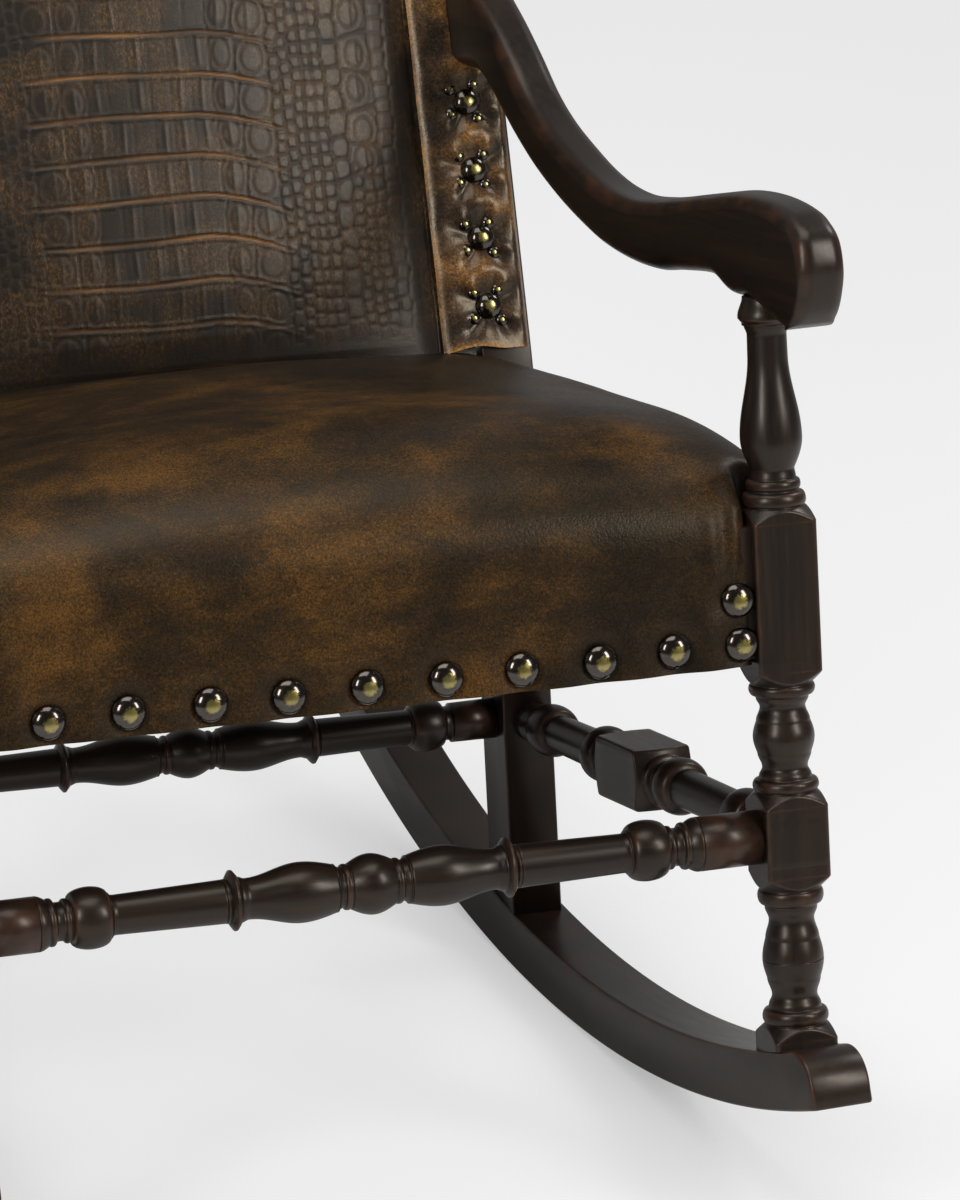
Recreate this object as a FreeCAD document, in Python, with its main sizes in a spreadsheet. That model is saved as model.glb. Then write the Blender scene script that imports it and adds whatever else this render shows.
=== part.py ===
"""A leather rocking chair: turned hardwood frame on two curved rockers, with a stuffed leather seat and back.

The chair is drawn upright in its own frame: x to the right of someone facing it, y to the back, z up along the
front posts, with z = 0 where the front feet stand on the rockers. Every piece is then leaned back on the rockers.
"""
import FreeCAD, Part
import math
import os
import re

import Sketcher

Vector = FreeCAD.Vector

# Driving sizes in millimetres and degrees: name, value, what it measures
SIZES = (
    ("lean", 10.3, "how far the front posts lean back when the chair stands still"),
    ("half_front", 296, "front post axis from the middle of the chair"),
    ("half_rear", 254, "rear leg axis from the middle of the chair"),
    ("side_depth", 470, "front post axis to rear leg axis"),
    ("fit", 0.2, "clearance round each tenon and dowel"),
    ("rock_radius", 1115, "radius of the rocker's running edge"),
    ("rock_centre", 211, "rocker arc's centre behind the front posts"),
    ("rocker_depth", 41, "height of the rocker's section"),
    ("rocker_width", 44, "thickness of the rocker plank"),
    ("rocker_nose", 72, "rocker ahead of the front post axis"),
    ("rocker_tail", 800, "rocker behind the front post axis"),
    ("nose_round", 27, "rounding of the rocker's upper nose"),
    ("tail_round", 14, "rounding of the rocker's tail"),
    ("post_square", 45, "side of the front post's square blocks"),
    ("shoulder_drop", 8.5, "height of the arched shoulders on the blocks"),
    ("foot_block", 18, "height of the foot's square block"),
    ("foot_joint", 63.5, "height of the joint between foot and post"),
    ("low_block_bottom", 114, "underside of the block that takes the stretchers"),
    ("low_block_top", 180, "top of the block that takes the stretchers"),
    ("seat_block_bottom", 256, "underside of the block that takes the seat rails"),
    ("seat_block_top", 376, "top of the block that takes the seat rails"),
    ("arm_under", 519, "underside of the arm at the front post"),
    ("post_neck", 31, "diameter of the necks"),
    ("post_bulb", 42, "diameter of the bulbs and of the baluster"),
    ("top_neck", 27, "diameter of the baluster's upper neck"),
    ("top_collar", 38, "diameter of the sharp collar under the arm"),
    ("post_tenon", 20, "diameter of the tenon that enters the arm"),
    ("post_tenon_length", 26, "length of the tenon that enters the arm"),
    ("dowel", 14, "diameter of the dowels in the feet and rockers"),
    ("dowel_length", 40, "length of those dowels"),
    ("stretcher_level", 150, "axis of the four stretchers above the foot"),
    ("front_swell", 41.5, "largest diameter of the front stretcher"),
    ("rear_swell", 38, "largest diameter of the rear stretcher"),
    ("stretcher_shaft", 27, "diameter of the plain shafts and necks"),
    ("vase_at", 49, "fullest point of the vases from the stretcher's middle"),
    ("ring_at", 98, "thin ring from the stretcher's middle"),
    ("front_end", 33, "plain end of the front stretcher"),
    ("rear_end", 6, "plain end of the rear stretcher"),
    ("stretcher_tenon", 16, "diameter of the stretchers' tenons"),
    ("stretcher_tenon_length", 12, "length of the stretchers' tenons"),
    ("side_block", 44, "side of the square block on the side stretchers"),
    ("side_block_length", 77, "length of that block"),
    ("side_block_at", 241, "middle of that block behind the front post axis"),
    ("side_swell", 39, "largest diameter of the side stretchers' turnings"),
    ("leg_width", 38, "width of the rear legs seen from the front"),
    ("leg_depth", 54, "depth of the rear legs below the seat"),
    ("back_depth", 40, "depth of the rear posts above the seat"),
    ("bend_level", 395, "height at which the rear posts turn back"),
    ("rake", 11.5, "rake of the back against the rear legs"),
    ("back_length", 655, "length of the raked posts"),
    ("rail_bottom", 276, "underside of the seat rails"),
    ("rail_height", 90, "height of the seat rails"),
    ("rail_thick", 28, "thickness of the seat rails"),
    ("rail_setback", 8, "seat rails behind the faces of the posts"),
    ("tenon_thick", 10, "thickness of the rails' tenons"),
    ("tenon_height", 62, "height of the rails' tenons"),
    ("tenon_length", 20, "length of the rails' tenons"),
    ("tenon_edge", 3, "tenon behind its rail's outer face"),
    ("brace_leg", 62, "leg of the triangular corner blocks"),
    ("brace_height", 40, "height of the corner blocks"),
    ("screw_head", 9, "head diameter of the corner block screws"),
    ("screw_shank", 4.5, "shank diameter of the corner block screws"),
    ("screw_length", 58, "length of the corner block screws"),
    ("screw_sink", 1, "screw heads below the face of their block"),
    ("back_rail_inset", 10, "back rails behind the posts' front faces"),
    ("back_rail_thick", 26, "thickness of the back rails"),
    ("low_rail_at", 46, "lower back rail above the bend"),
    ("low_rail_height", 50, "height of the lower back rail"),
    ("crest_height", 66, "height of the crest rail at its ends"),
    ("crest_rise", 24, "rise of the crest rail's arch"),
    ("strap_width", 50, "width of the webbing"),
    ("strap_thick", 1.5, "thickness of the webbing"),
    ("seat_straps_long", 6, "webbing straps from front to back"),
    ("seat_straps_cross", 5, "webbing straps from side to side"),
    ("back_straps", 6, "webbing straps across the back"),
    ("leather", 3, "leather with its thin wadding"),
    ("soft_gap", 0.3, "play between soft pieces and their neighbours"),
    ("apron_bottom", 272, "lower edge of the seat leather"),
    ("seat_shoulder", 374, "height at which the seat's sides turn in"),
    ("seat_edge", 422, "height of the crown at the seat's edges"),
    ("seat_crown", 448, "height of the crown in the seat's middle"),
    ("seat_front_roll", 130, "depth over which the seat rolls down to its front edge"),
    ("seat_front_level", 371, "height at which the seat's front starts to roll back"),
    ("seat_rear_roll", 120, "depth over which the seat falls to the back"),
    ("seat_rear_level", 430, "height of the seat where it passes under the back"),
    ("seat_corner", 34, "rounding of the seat's upper sides"),
    ("panel_half", 204, "half width of the embossed back panel"),
    ("panel_crown", 26, "crown of the back panel"),
    ("panel_foot", 42, "lower edge of the back panel above the bend"),
    ("band_width", 64, "width of the bands on the rear posts"),
    ("band_foot", 34, "lower edge of the bands above the bend"),
    ("arm_width", 34, "width of the arms"),
    ("arm_round", 10, "rounding of the arms' edges"),
    ("arm_bolt", 8, "diameter of the bolts that hold the arms to the back"),
    ("arm_bolt_head", 20, "diameter of those bolts' heads"),
    ("arm_rise", 160, "rise of the arms from the front posts to those bolts"),
    ("arm_joint", 116, "stretch of the bands that the arms cover, with clearance"),
    ("nail", 22, "diameter of the large nails"),
    ("nail_rise", 7, "height of the large nails' domes"),
    ("nail_level", 287, "row of nails along the seat's lower edge"),
    ("nail_pitch", 54, "distance between the nails of that row"),
    ("corner_nail", 30, "second nail above the row's last one"),
    ("band_nail", 19, "diameter of the bands' large nails"),
    ("band_nail_pitch", 50, "distance between the bands' nails"),
    ("band_nail_foot", 66, "lowest nail of the bands above the bend"),
)

doc = FreeCAD.newDocument("RockingChair")
sheet = doc.addObject("Spreadsheet::Sheet", "Sizes")
for row, (name, value, note) in enumerate(SIZES, 1):
    sheet.set(f"A{row}", note)
    sheet.set(f"B{row}", str(value))
    sheet.setAlias(f"B{row}", name)
doc.recompute()
NAMES = {name for name, value, note in SIZES}


def size(name):
    """A driving size, read from the sheet."""
    return float(getattr(sheet, name))


def bound(text):
    """An expression in which each driving size is named as the sheet's own cell."""
    return re.sub(r"[a-z_]+", lambda m: "Sizes." + m[0] if m[0] in NAMES else m[0], text)


def frame(name, expression):
    """A named place that other pieces hang on."""
    place = doc.addObject("App::Placement", name)
    place.setExpression("Placement", bound(expression))
    return place


def spot(x="0", y="0", z="0", axis=(0, 0, 1), turn="0"):
    """The expression for a place, with sizes by name."""
    ax, ay, az = axis
    return f"placement(vector({x}; {y}; {z}); rotation(vector({ax}; {ay}; {az}); {turn}))"


def box(name, corner, sides, on=""):
    """A block from its lowest corner and its three sides, each an expression."""
    block = doc.addObject("Part::Box", name)
    for side, text in zip(("Length", "Width", "Height"), sides):
        block.setExpression(side, bound(text))
    block.setExpression("Placement", bound(on + spot(*corner)))
    return block


def rod(name, diameter, length, place, on=""):
    """A round bar along its own z."""
    bar = doc.addObject("Part::Cylinder", name)
    bar.setExpression("Radius", bound(f"({diameter}) / 2"))
    bar.setExpression("Height", bound(length))
    bar.setExpression("Placement", bound(on + place))
    return bar


def peg(name, across, length, place, on="", sides=8):
    """A straight peg with flat sides along its own z."""
    bar = doc.addObject("Part::Prism", name)
    bar.Polygon = sides
    bar.setExpression("Circumradius", bound(f"({across}) / 2"))
    bar.setExpression("Height", bound(length))
    bar.setExpression("Placement", bound(on + place))
    return bar


def cut(name, base, *tools):
    """A piece with its sockets cut by the tools."""
    tool = tools[0]
    if len(tools) > 1:
        tool = doc.addObject("Part::MultiFuse", name + "Sockets")
        tool.Shapes = list(tools)
    piece = doc.addObject("Part::Cut", name)
    piece.Base = base
    piece.Tool = tool
    return piece


def fuse(name, *solids):
    """One piece from several solids."""
    piece = doc.addObject("Part::MultiFuse", name)
    piece.Shapes = list(solids)
    return piece


def group(name, *solids):
    """Like pieces that share one node."""
    bundle = doc.addObject("Part::Compound", name)
    bundle.Links = list(solids)
    return bundle


def shaped(name, shape):
    """A free form whose shape is worked out from the sizes."""
    piece = doc.addObject("Part::Feature", name)
    piece.Shape = shape
    return piece


PARTS = []


def part(label, piece):
    """Lean a finished piece back with the chair and name it."""
    piece.Label = label
    if not piece.isDerivedFrom("Part::Mirroring"):
        piece.setExpression("Placement", "Stand.Placement")
    PARTS.append(piece)


def pair(label, piece):
    """A right-hand piece and its mirror image on the left."""
    part("right_" + label, piece)
    twin = doc.addObject("Part::Mirroring", "Left" + piece.Name)
    twin.Source = piece
    twin.Normal = Vector(1, 0, 0)
    part("left_" + label, twin)


# Places: the lean on the rockers, the plane of each side frame, and the raked back
SIDE_ANGLE = "atan((half_front - half_rear) / side_depth)"
ROLL_ANGLE = f"atan(cos({SIDE_ANGLE}) * tan(lean))"
ARC_HEIGHT = "sqrt((rock_radius - rocker_depth) ^ 2 - rock_centre ^ 2)"
CONTACT_Y = f"(rock_centre + rock_radius * sin({ROLL_ANGLE})) * cos({SIDE_ANGLE})"
CONTACT_Z = f"({ARC_HEIGHT} - rock_radius * cos({ROLL_ANGLE}))"
frame("Stand", spot(axis=(1, 0, 0), turn="-lean") + " * " + spot("0", f"-{CONTACT_Y}", f"-{CONTACT_Z}"))
frame("Side", spot("half_front", axis=(0, 0, 1), turn=SIDE_ANGLE))
frame("Back", spot("0", "side_depth - leg_depth / 2", "bend_level", (1, 0, 0), "-rake"))
doc.recompute()
ON_SIDE = "Side.Placement * "
ON_BACK = "Back.Placement * "
side_turn = math.atan2(size("half_front") - size("half_rear"), size("side_depth"))
side_run = math.hypot(size("half_front") - size("half_rear"), size("side_depth"))


def plane_of(body, role):
    """One of a body's own origin planes."""
    return next(f for f in body.Origin.OriginFeatures if f.Role == role)


def sketch_on(body, name, role, offset=None):
    """A sketch on one of a body's own planes, lifted off it by an expression."""
    sketch = body.newObject("Sketcher::SketchObject", name)
    sketch.AttachmentSupport = [(plane_of(body, role), "")]
    sketch.MapMode = "FlatFace"
    if offset:
        sketch.setExpression("AttachmentOffset.Base.z", bound(offset))
    return sketch


def draw(sketch, points):
    """A closed outline through (a, b, swell) points; swell is how far the stretch that ends there bows outwards."""
    last = points[-1]
    for point in points:
        start = Vector(last[0], last[1], 0)
        end = Vector(point[0], point[1], 0)
        if point[2]:
            along = (end - start).normalize()
            middle = (start + end) / 2 + Vector(along.y, -along.x, 0) * point[2]
            sketch.addGeometry(Part.Arc(start, middle, end))
        else:
            sketch.addGeometry(Part.LineSegment(start, end))
        last = point


def square(sketch, width, depth):
    """A rectangle about the sketch's origin, its sides bound to the sheet."""
    corners = [Vector(-1, -1, 0), Vector(1, -1, 0), Vector(1, 1, 0), Vector(-1, 1, 0)]
    for i, corner in enumerate(corners):
        sketch.addGeometry(Part.LineSegment(corner, corners[(i + 1) % 4]))
    for i in range(4):
        sketch.addConstraint(Sketcher.Constraint("Coincident", i, 2, (i + 1) % 4, 1))
    for i in (0, 2):
        sketch.addConstraint(Sketcher.Constraint("Horizontal", i))
        sketch.addConstraint(Sketcher.Constraint("Vertical", i + 1))
    sketch.addConstraint(Sketcher.Constraint("Symmetric", 0, 1, 2, 1, -1, 1))
    for edge, text in ((0, width), (1, depth)):
        index = sketch.addConstraint(Sketcher.Constraint("Distance", edge, 2))
        sketch.setExpression(f"Constraints[{index}]", bound(text))


def padded(body, sketch, name, length, middle=False):
    """A pad of a sketch, to an expression's length."""
    pad = body.newObject("PartDesign::Pad", name)
    pad.Profile = sketch
    pad.setExpression("Length", bound(length))
    if middle:
        pad.SideType = "Symmetric"
    return pad


def flat(points):
    """A flat face inside a closed line of points."""
    return Part.Face(Part.makePolygon(points + points[:1]))


def skinned(name, rims):
    """A solid drawn over a row of closed rims, with a flat cap at either end."""
    faces = [flat(rims[0][::-1]), flat(rims[-1])]
    for near, far in zip(rims, rims[1:]):
        for i in range(len(near)):
            a, b, c, d = near[i - 1], near[i], far[i], far[i - 1]
            twist = abs((b - a).cross(d - a).dot(c - a))
            faces += [flat([a, b, c, d])] if twist < 0.001 else [flat([a, b, c]), flat([a, c, d])]
    return shaped(name, Part.makeSolid(Part.makeShell(faces)))


FLATS = 16


def turning(name, stations):
    """A turning along its own z through (height, radius) stations, drawn with narrow flats round it."""
    step = 2 * math.pi / FLATS
    ways = [Vector(math.cos(step * (i + 0.5)), math.sin(step * (i + 0.5)), 0) / math.cos(step / 2) for i in range(FLATS)]
    return skinned(name, [[way * radius + Vector(0, 0, height) for way in ways] for height, radius in stations])


def both(name, first, second):
    """What two solids have in common."""
    shared = doc.addObject("Part::Common", name)
    shared.Base = first
    shared.Tool = second
    return shared


# Rockers: one bent plank each, with a rounded nose, in the plane of the side frame
arc_height = math.sqrt((size("rock_radius") - size("rocker_depth")) ** 2 - size("rock_centre") ** 2)


def at_arc(radius, angle):
    """A point of a rocker arc; the angle runs from straight down towards the back."""
    return Vector(size("rock_centre") + radius * math.sin(angle), arc_height - radius * math.cos(angle), 0)


def rounded(corner, start, end):
    """The arc that rounds a square corner between two points on its sides."""
    middle = corner + (start + end - corner * 2) * (1 - math.sqrt(0.5))
    return Part.Arc(start, middle, end)


def rocker():
    outer = size("rock_radius")
    inner = outer - size("rocker_depth")
    nose = math.asin((-size("rocker_nose") - size("rock_centre")) / outer)
    tail = math.asin((size("rocker_tail") - size("rock_centre")) / outer)
    lip, heel = size("nose_round"), size("tail_round")
    sole = at_arc(outer, tail - heel / outer)
    tail_low, tail_high = at_arc(outer - heel, tail), at_arc(inner + heel, tail)
    top_back = at_arc(inner, tail - heel / inner)
    top_front = at_arc(inner, nose + lip / inner)
    nose_high, nose_low = at_arc(inner + lip, nose), at_arc(outer, nose)
    body = doc.addObject("PartDesign::Body", "RockerPlank")
    sketch = sketch_on(body, "RockerOutline", "YZ_Plane")
    for edge in (
        Part.Arc(nose_low, at_arc(outer, (nose + tail) / 2), sole),
        rounded(at_arc(outer, tail), sole, tail_low),
        Part.LineSegment(tail_low, tail_high),
        rounded(at_arc(inner, tail), tail_high, top_back),
        Part.Arc(top_back, at_arc(inner, (nose + tail) / 2), top_front),
        rounded(at_arc(inner, nose), top_front, nose_high),
        Part.LineSegment(nose_high, nose_low),
    ):
        sketch.addGeometry(edge)
    padded(body, sketch, "RockerPad", "rocker_width", middle=True)
    body.setExpression("Placement", "Side.Placement")
    return body


REAR_FOOT = f"({ARC_HEIGHT} - sqrt((rock_radius - rocker_depth) ^ 2 - (side_depth / cos({SIDE_ANGLE}) - rock_centre) ^ 2))"
FRONT_DOWEL = spot("half_front", "0", "-dowel_length / 2")
REAR_DOWEL = spot("half_rear", "side_depth", f"{REAR_FOOT} - dowel_length / 2")
FOOT_DOWEL = spot("half_front", "0", "foot_joint - dowel_length / 2")


def dowel_and_bore(name, place):
    """An eight-sided dowel and the slightly wider bore that it is driven into."""
    return peg(name, "dowel", "dowel_length", place), peg(name + "Bore", "dowel + 2 * fit", "dowel_length", place)


front_dowel, front_bore = dowel_and_bore("FrontDowel", FRONT_DOWEL)
rear_dowel, rear_bore = dowel_and_bore("RearDowel", REAR_DOWEL)
foot_dowel, foot_bore = dowel_and_bore("FootDowel", FOOT_DOWEL)
pair("rocker", cut("Rocker", rocker(), front_bore, rear_bore))
pair("rocker_dowels", group("RockerDowels", front_dowel, rear_dowel))
pair("foot_dowel", group("FootDowels", foot_dowel))
saddle = rod("Saddle", "2 * (rock_radius - rocker_depth)", "4 * rocker_width",
             spot("-2 * rocker_width", "rock_centre", ARC_HEIGHT, (0, 1, 0), "90"), ON_SIDE)


def on_saddle(name, piece):
    """A leg whose underside is scribed to the rocker's upper edge."""
    return both(name, piece, saddle)


# Front posts and feet: square stock turned down between its blocks, so that the blocks keep arched shoulders
half_square = size("post_square") / 2
ring = 0.96 * half_square
clear_radius = size("post_square")
shoulder_slope = size("shoulder_drop") / (half_square * (math.sqrt(2) - 1))
shoulder_run = shoulder_slope * (clear_radius - ring)
neck = size("post_neck") / 2
bulb = size("post_bulb") / 2
HALF_SPOOL = ((0, 0.93 * ring), (0.05, ring), (0.20, ring), (0.25, 0.9 * ring), (0.32, neck), (0.55, neck),
              (0.66, 0.86 * bulb), (0.78, 0.97 * bulb), (0.90, bulb))


def half_spool(block, middle):
    """Stations from a block's shoulder to the fullest part of a bulb: ring, neck and bulb."""
    return [(block + share * (middle - block), radius) for share, radius in HALF_SPOOL]


def block(bottom, top):
    """Stations that leave a square block whole between two heights."""
    return [(bottom + shoulder_run, clear_radius), (top - shoulder_run, clear_radius)]


def square_stock(name, bottom, top):
    """The square stock that goes on the lathe, a little longer than the piece."""
    body = doc.addObject("PartDesign::Body", name)
    sketch = sketch_on(body, name + "Section", "XY_Plane", f"({bottom}) - post_square")
    square(sketch, "post_square", "post_square")
    padded(body, sketch, name + "Pad", f"({top}) - ({bottom}) + 2 * post_square")
    body.setExpression("Placement", bound(spot("half_front")))
    return body


def on_lathe(name, stock, stations):
    """What the lathe leaves of the stock."""
    swept = turning(name + "Sweep", stations)
    swept.setExpression("Placement", bound(spot("half_front")))
    return both(name, stock, swept)


def front_foot():
    joint, top = size("foot_joint"), size("foot_block")
    stock = square_stock("FootStock", "-rocker_depth", "foot_joint")
    whole = [(-size("rocker_depth"), clear_radius), (top - shoulder_run, clear_radius)]
    turned = on_lathe("TurnedFoot", stock, whole + half_spool(top, joint) + [(joint, bulb)])
    return cut("FrontFoot", on_saddle("ScribedFoot", turned), front_bore, foot_bore)


def baluster(start, end):
    """The upper turning: ring, bead, cove, baluster, long neck and the sharp collar under the arm."""
    top_neck, collar = size("top_neck") / 2, size("top_collar") / 2
    shape = ((0, 0.93 * ring), (0.02, 0.97 * ring), (0.07, 0.97 * ring), (0.09, 0.85 * ring), (0.14, 0.85 * ring),
             (0.17, neck), (0.21, neck), (0.26, 0.9 * bulb), (0.34, bulb), (0.42, 0.94 * bulb), (0.55, 0.77 * bulb),
             (0.66, top_neck), (0.80, top_neck), (0.86, 0.8 * collar), (0.895, collar), (1, 0.8 * collar))
    return [(start + share * (end - start), radius) for share, radius in shape]


def front_post():
    low_bottom, low_top = size("low_block_bottom"), size("low_block_top")
    seat_bottom, seat_top = size("seat_block_bottom"), size("seat_block_top")
    joint, under = size("foot_joint"), size("arm_under")
    middle = (low_top + seat_bottom) / 2
    stations = [(joint, bulb)] + half_spool(low_bottom, joint)[::-1] + block(low_bottom, low_top)
    stations += half_spool(low_top, middle) + half_spool(seat_bottom, middle)[::-1]
    stations += block(seat_bottom, seat_top) + baluster(seat_top, under)
    return on_lathe("TurnedPost", square_stock("PostStock", "foot_joint", "arm_under"), stations)


# Stretchers: turned between centres, with stub tenons
def ball_and_vase(shaft, swell, lip):
    """From the middle outwards: half of a ball, a neck and a vase."""
    at = size("vase_at")
    return [(1.5 * lip, swell), (2.8 * lip, 0.92 * swell), (3.8 * lip, shaft), (at - 5 * lip, shaft),
            (at - 3.5 * lip, 0.82 * swell), (at - 1.5 * lip, 0.97 * swell), (at + lip, swell), (at + 3 * lip, 0.92 * swell),
            (at + 5.5 * lip, 0.78 * swell), (at + 8 * lip, shaft)]


def ring_and_bead(shoulder, end, shaft, swell, lip):
    """On from the vase: a thin ring, a shaft, a bead, a neck and the plain end."""
    ring_at, bead_at = size("ring_at"), shoulder - end - 9 * lip
    return [(ring_at - 1.2 * lip, shaft), (ring_at - 0.5 * lip, 0.95 * swell), (ring_at + 0.5 * lip, 0.95 * swell),
            (ring_at + 1.2 * lip, shaft), (bead_at - 4 * lip, shaft), (bead_at - 2.4 * lip, 0.9 * swell), (bead_at, swell),
            (bead_at + 2.4 * lip, 0.88 * swell), (bead_at + 4.5 * lip, shaft), (shoulder - end - lip, shaft),
            (shoulder - end, 0.92 * swell), (shoulder, 0.92 * swell)]


def stretcher(name, shoulder, swell, end):
    """A stretcher across the chair, from the middle outwards the same on both sides."""
    shaft, swell = size("stretcher_shaft") / 2, swell / 2
    lip = 0.3 * shaft
    half = ball_and_vase(shaft, swell, lip) + ring_and_bead(shoulder, end, shaft, swell, lip)
    return turning(name, [(-along, r) for along, r in half[::-1]] + half)


FRONT_IN = "(half_front - post_square / 2)"
REAR_IN = "(half_rear - leg_width / 2)"


def stub_tenons(name, reach, y):
    """The stub tenons of a stretcher as one bar through its axis, and their sockets."""
    place = spot(f"-{reach} - stretcher_tenon_length", y, "stretcher_level", (0, 1, 0), "90")
    length = f"2 * {reach} + 2 * stretcher_tenon_length"
    tenons = peg(name + "Tenons", "stretcher_tenon", length, place)
    return tenons, peg(name + "Sockets", "stretcher_tenon + 2 * fit", length, place)


front_turning = stretcher("FrontTurning", size("half_front") - half_square, size("front_swell"), size("front_end"))
front_turning.setExpression("Placement", bound(spot("0", "0", "stretcher_level", (0, 1, 0), "90")))
rear_turning = stretcher("RearTurning", size("half_rear") - size("leg_width") / 2, size("rear_swell"), size("rear_end"))
rear_turning.setExpression("Placement", bound(spot("0", "side_depth", "stretcher_level", (0, 1, 0), "90")))
front_stub, front_socket = stub_tenons("FrontStub", FRONT_IN, "0")
rear_stub, rear_socket = stub_tenons("RearStub", REAR_IN, "side_depth")
part("front_stretcher", fuse("FrontStretcher", front_turning, front_stub))
part("rear_stretcher", fuse("RearStretcher", rear_turning, rear_stub))

# Side frames: the stretcher with its square block, and the seat rail, scribed to the slanting posts
SIDE_FRONT = f"(post_square / 2 / cos({SIDE_ANGLE}))"
SIDE_REAR = f"((side_depth - leg_depth / 2) / cos({SIDE_ANGLE}))"
SIDE_OUT = "(post_square / 2 - rail_setback)"
front_trim = box("FrontTrim", ("half_front - 2 * post_square", "-1.5 * post_square", "0"),
                 ("4 * post_square", "2 * post_square", "bend_level"))
rear_trim = box("RearTrim", ("half_rear - 2 * leg_width", "side_depth - leg_depth / 2", "0"),
                ("4 * leg_width", "2 * leg_depth", "bend_level"))
ALONG = (1, 0, 0)


def side_turning():
    """The side stretcher's turned ends, from inside the front post to inside the rear leg."""
    start = half_square / math.cos(side_turn)
    end = side_run - size("leg_depth") / 2 / math.cos(side_turn)
    swell, shaft = size("side_swell") / 2, size("stretcher_shaft") / 2
    lip = 0.3 * shaft
    block_end = size("side_block_length") / 2
    middle = size("side_block_at")

    def run(length):
        """From the block outwards: ring, neck, bead, shaft, bulb and plain end."""
        return [(block_end + lip, 0.95 * swell), (block_end + 1.6 * lip, shaft), (block_end + 3 * lip, shaft),
                (block_end + 4 * lip, 0.92 * swell), (block_end + 5.5 * lip, swell), (block_end + 7 * lip, 0.92 * swell),
                (block_end + 8.5 * lip, shaft), (length - 13 * lip, shaft), (length - 11 * lip, 0.86 * swell),
                (length - 9 * lip, 0.97 * swell), (length - 7 * lip, 0.9 * swell), (length - 4.5 * lip, shaft),
                (length + lip, shaft)]

    stations = [(middle - along, r) for along, r in run(middle - start)[::-1]]
    stations += [(middle + along, r) for along, r in run(end - middle)]
    bar = turning("SideTurning", stations)
    bar.setExpression("Placement", bound(ON_SIDE + spot("0", "0", "stretcher_level", ALONG, "-90")))
    return bar


side_tip = spot("0", f"{SIDE_FRONT} - stretcher_tenon_length", "stretcher_level", ALONG, "-90")
side_reach = f"{SIDE_REAR} - {SIDE_FRONT} + 2 * stretcher_tenon_length"
side_tenons = peg("SideTenons", "stretcher_tenon", side_reach, side_tip, ON_SIDE)
side_sockets = peg("SideSockets", "stretcher_tenon + 2 * fit", side_reach, side_tip, ON_SIDE)
side_mid = box("SideBlock", ("-side_block / 2", "side_block_at - side_block_length / 2", "stretcher_level - side_block / 2"),
               ("side_block", "side_block_length", "side_block"), ON_SIDE)
side_ends = cut("SideEnds", fuse("SideWhole", side_turning(), side_mid), front_trim, rear_trim)
pair("side_stretcher", fuse("SideStretcher", side_ends, side_tenons))


def tenon_pair(name, corner, sides, along, on=""):
    """A tenon running the whole length of its rail, and its mortise with play on the four long faces."""
    tenon = box(name + "Tenon", corner, sides, on)
    loose = [text if axis == along else f"{text} - fit" for axis, text in enumerate(corner)]
    wide = [text if axis == along else f"{text} + 2 * fit" for axis, text in enumerate(sides)]
    return tenon, box(name + "Mortise", loose, wide, on)


TENON_FOOT = "rail_bottom + (rail_height - tenon_height) / 2"
side_tenon, side_mortise = tenon_pair(
    "SideRail",
    (f"{SIDE_OUT} - tenon_edge - tenon_thick", f"{SIDE_FRONT} - tenon_length", TENON_FOOT),
    ("tenon_thick", f"{SIDE_REAR} - {SIDE_FRONT} + 2 * tenon_length", "tenon_height"), 1, ON_SIDE)
side_plank = box("SidePlank", (f"{SIDE_OUT} - rail_thick", f"{SIDE_FRONT} - post_square / 2", "rail_bottom"),
                 ("rail_thick", f"{SIDE_REAR} - {SIDE_FRONT} + post_square", "rail_height"), ON_SIDE)
pair("side_seat_rail", fuse("SideRail", cut("SideRailScribed", side_plank, front_trim, rear_trim), side_tenon))

front_tenon, front_mortise = tenon_pair(
    "FrontRail",
    (f"-{FRONT_IN} - tenon_length", f"-{SIDE_OUT} + tenon_edge", TENON_FOOT),
    (f"2 * {FRONT_IN} + 2 * tenon_length", "tenon_thick", "tenon_height"), 0)
front_plank = box("FrontPlank", (f"-{FRONT_IN}", f"-{SIDE_OUT}", "rail_bottom"),
                  (f"2 * {FRONT_IN}", "rail_thick", "rail_height"))
part("front_seat_rail", fuse("FrontRail", front_plank, front_tenon))

REAR_OUT = "(side_depth + leg_depth / 2 - rail_setback)"
rear_tenon, rear_mortise = tenon_pair(
    "RearRail",
    (f"-{REAR_IN} - tenon_length", f"{REAR_OUT} - tenon_edge - tenon_thick", TENON_FOOT),
    (f"2 * {REAR_IN} + 2 * tenon_length", "tenon_thick", "tenon_height"), 0)
rear_plank = box("RearPlank", (f"-{REAR_IN}", f"{REAR_OUT} - rail_thick", "rail_bottom"),
                 (f"2 * {REAR_IN}", "rail_thick", "rail_height"))
part("rear_seat_rail", fuse("RearRail", rear_plank, rear_tenon))


# Corner blocks glued inside the seat frame, each with a screw driven into its post
def on_side_plane(out, y):
    """The point of a side frame at a distance out of its plane and a distance y behind the front posts."""
    s = (y - out * math.sin(side_turn)) / math.cos(side_turn)
    return size("half_front") + out * math.cos(side_turn) - s * math.sin(side_turn), y


def plate(name, outline, bottom, thickness):
    """A flat piece of an outline seen from above."""
    body = doc.addObject("PartDesign::Body", name)
    sketch = sketch_on(body, name + "Outline", "XY_Plane", bottom)
    draw(sketch, [(x, y, 0) for x, y in outline])
    padded(body, sketch, name + "Pad", thickness)
    return body


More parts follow.
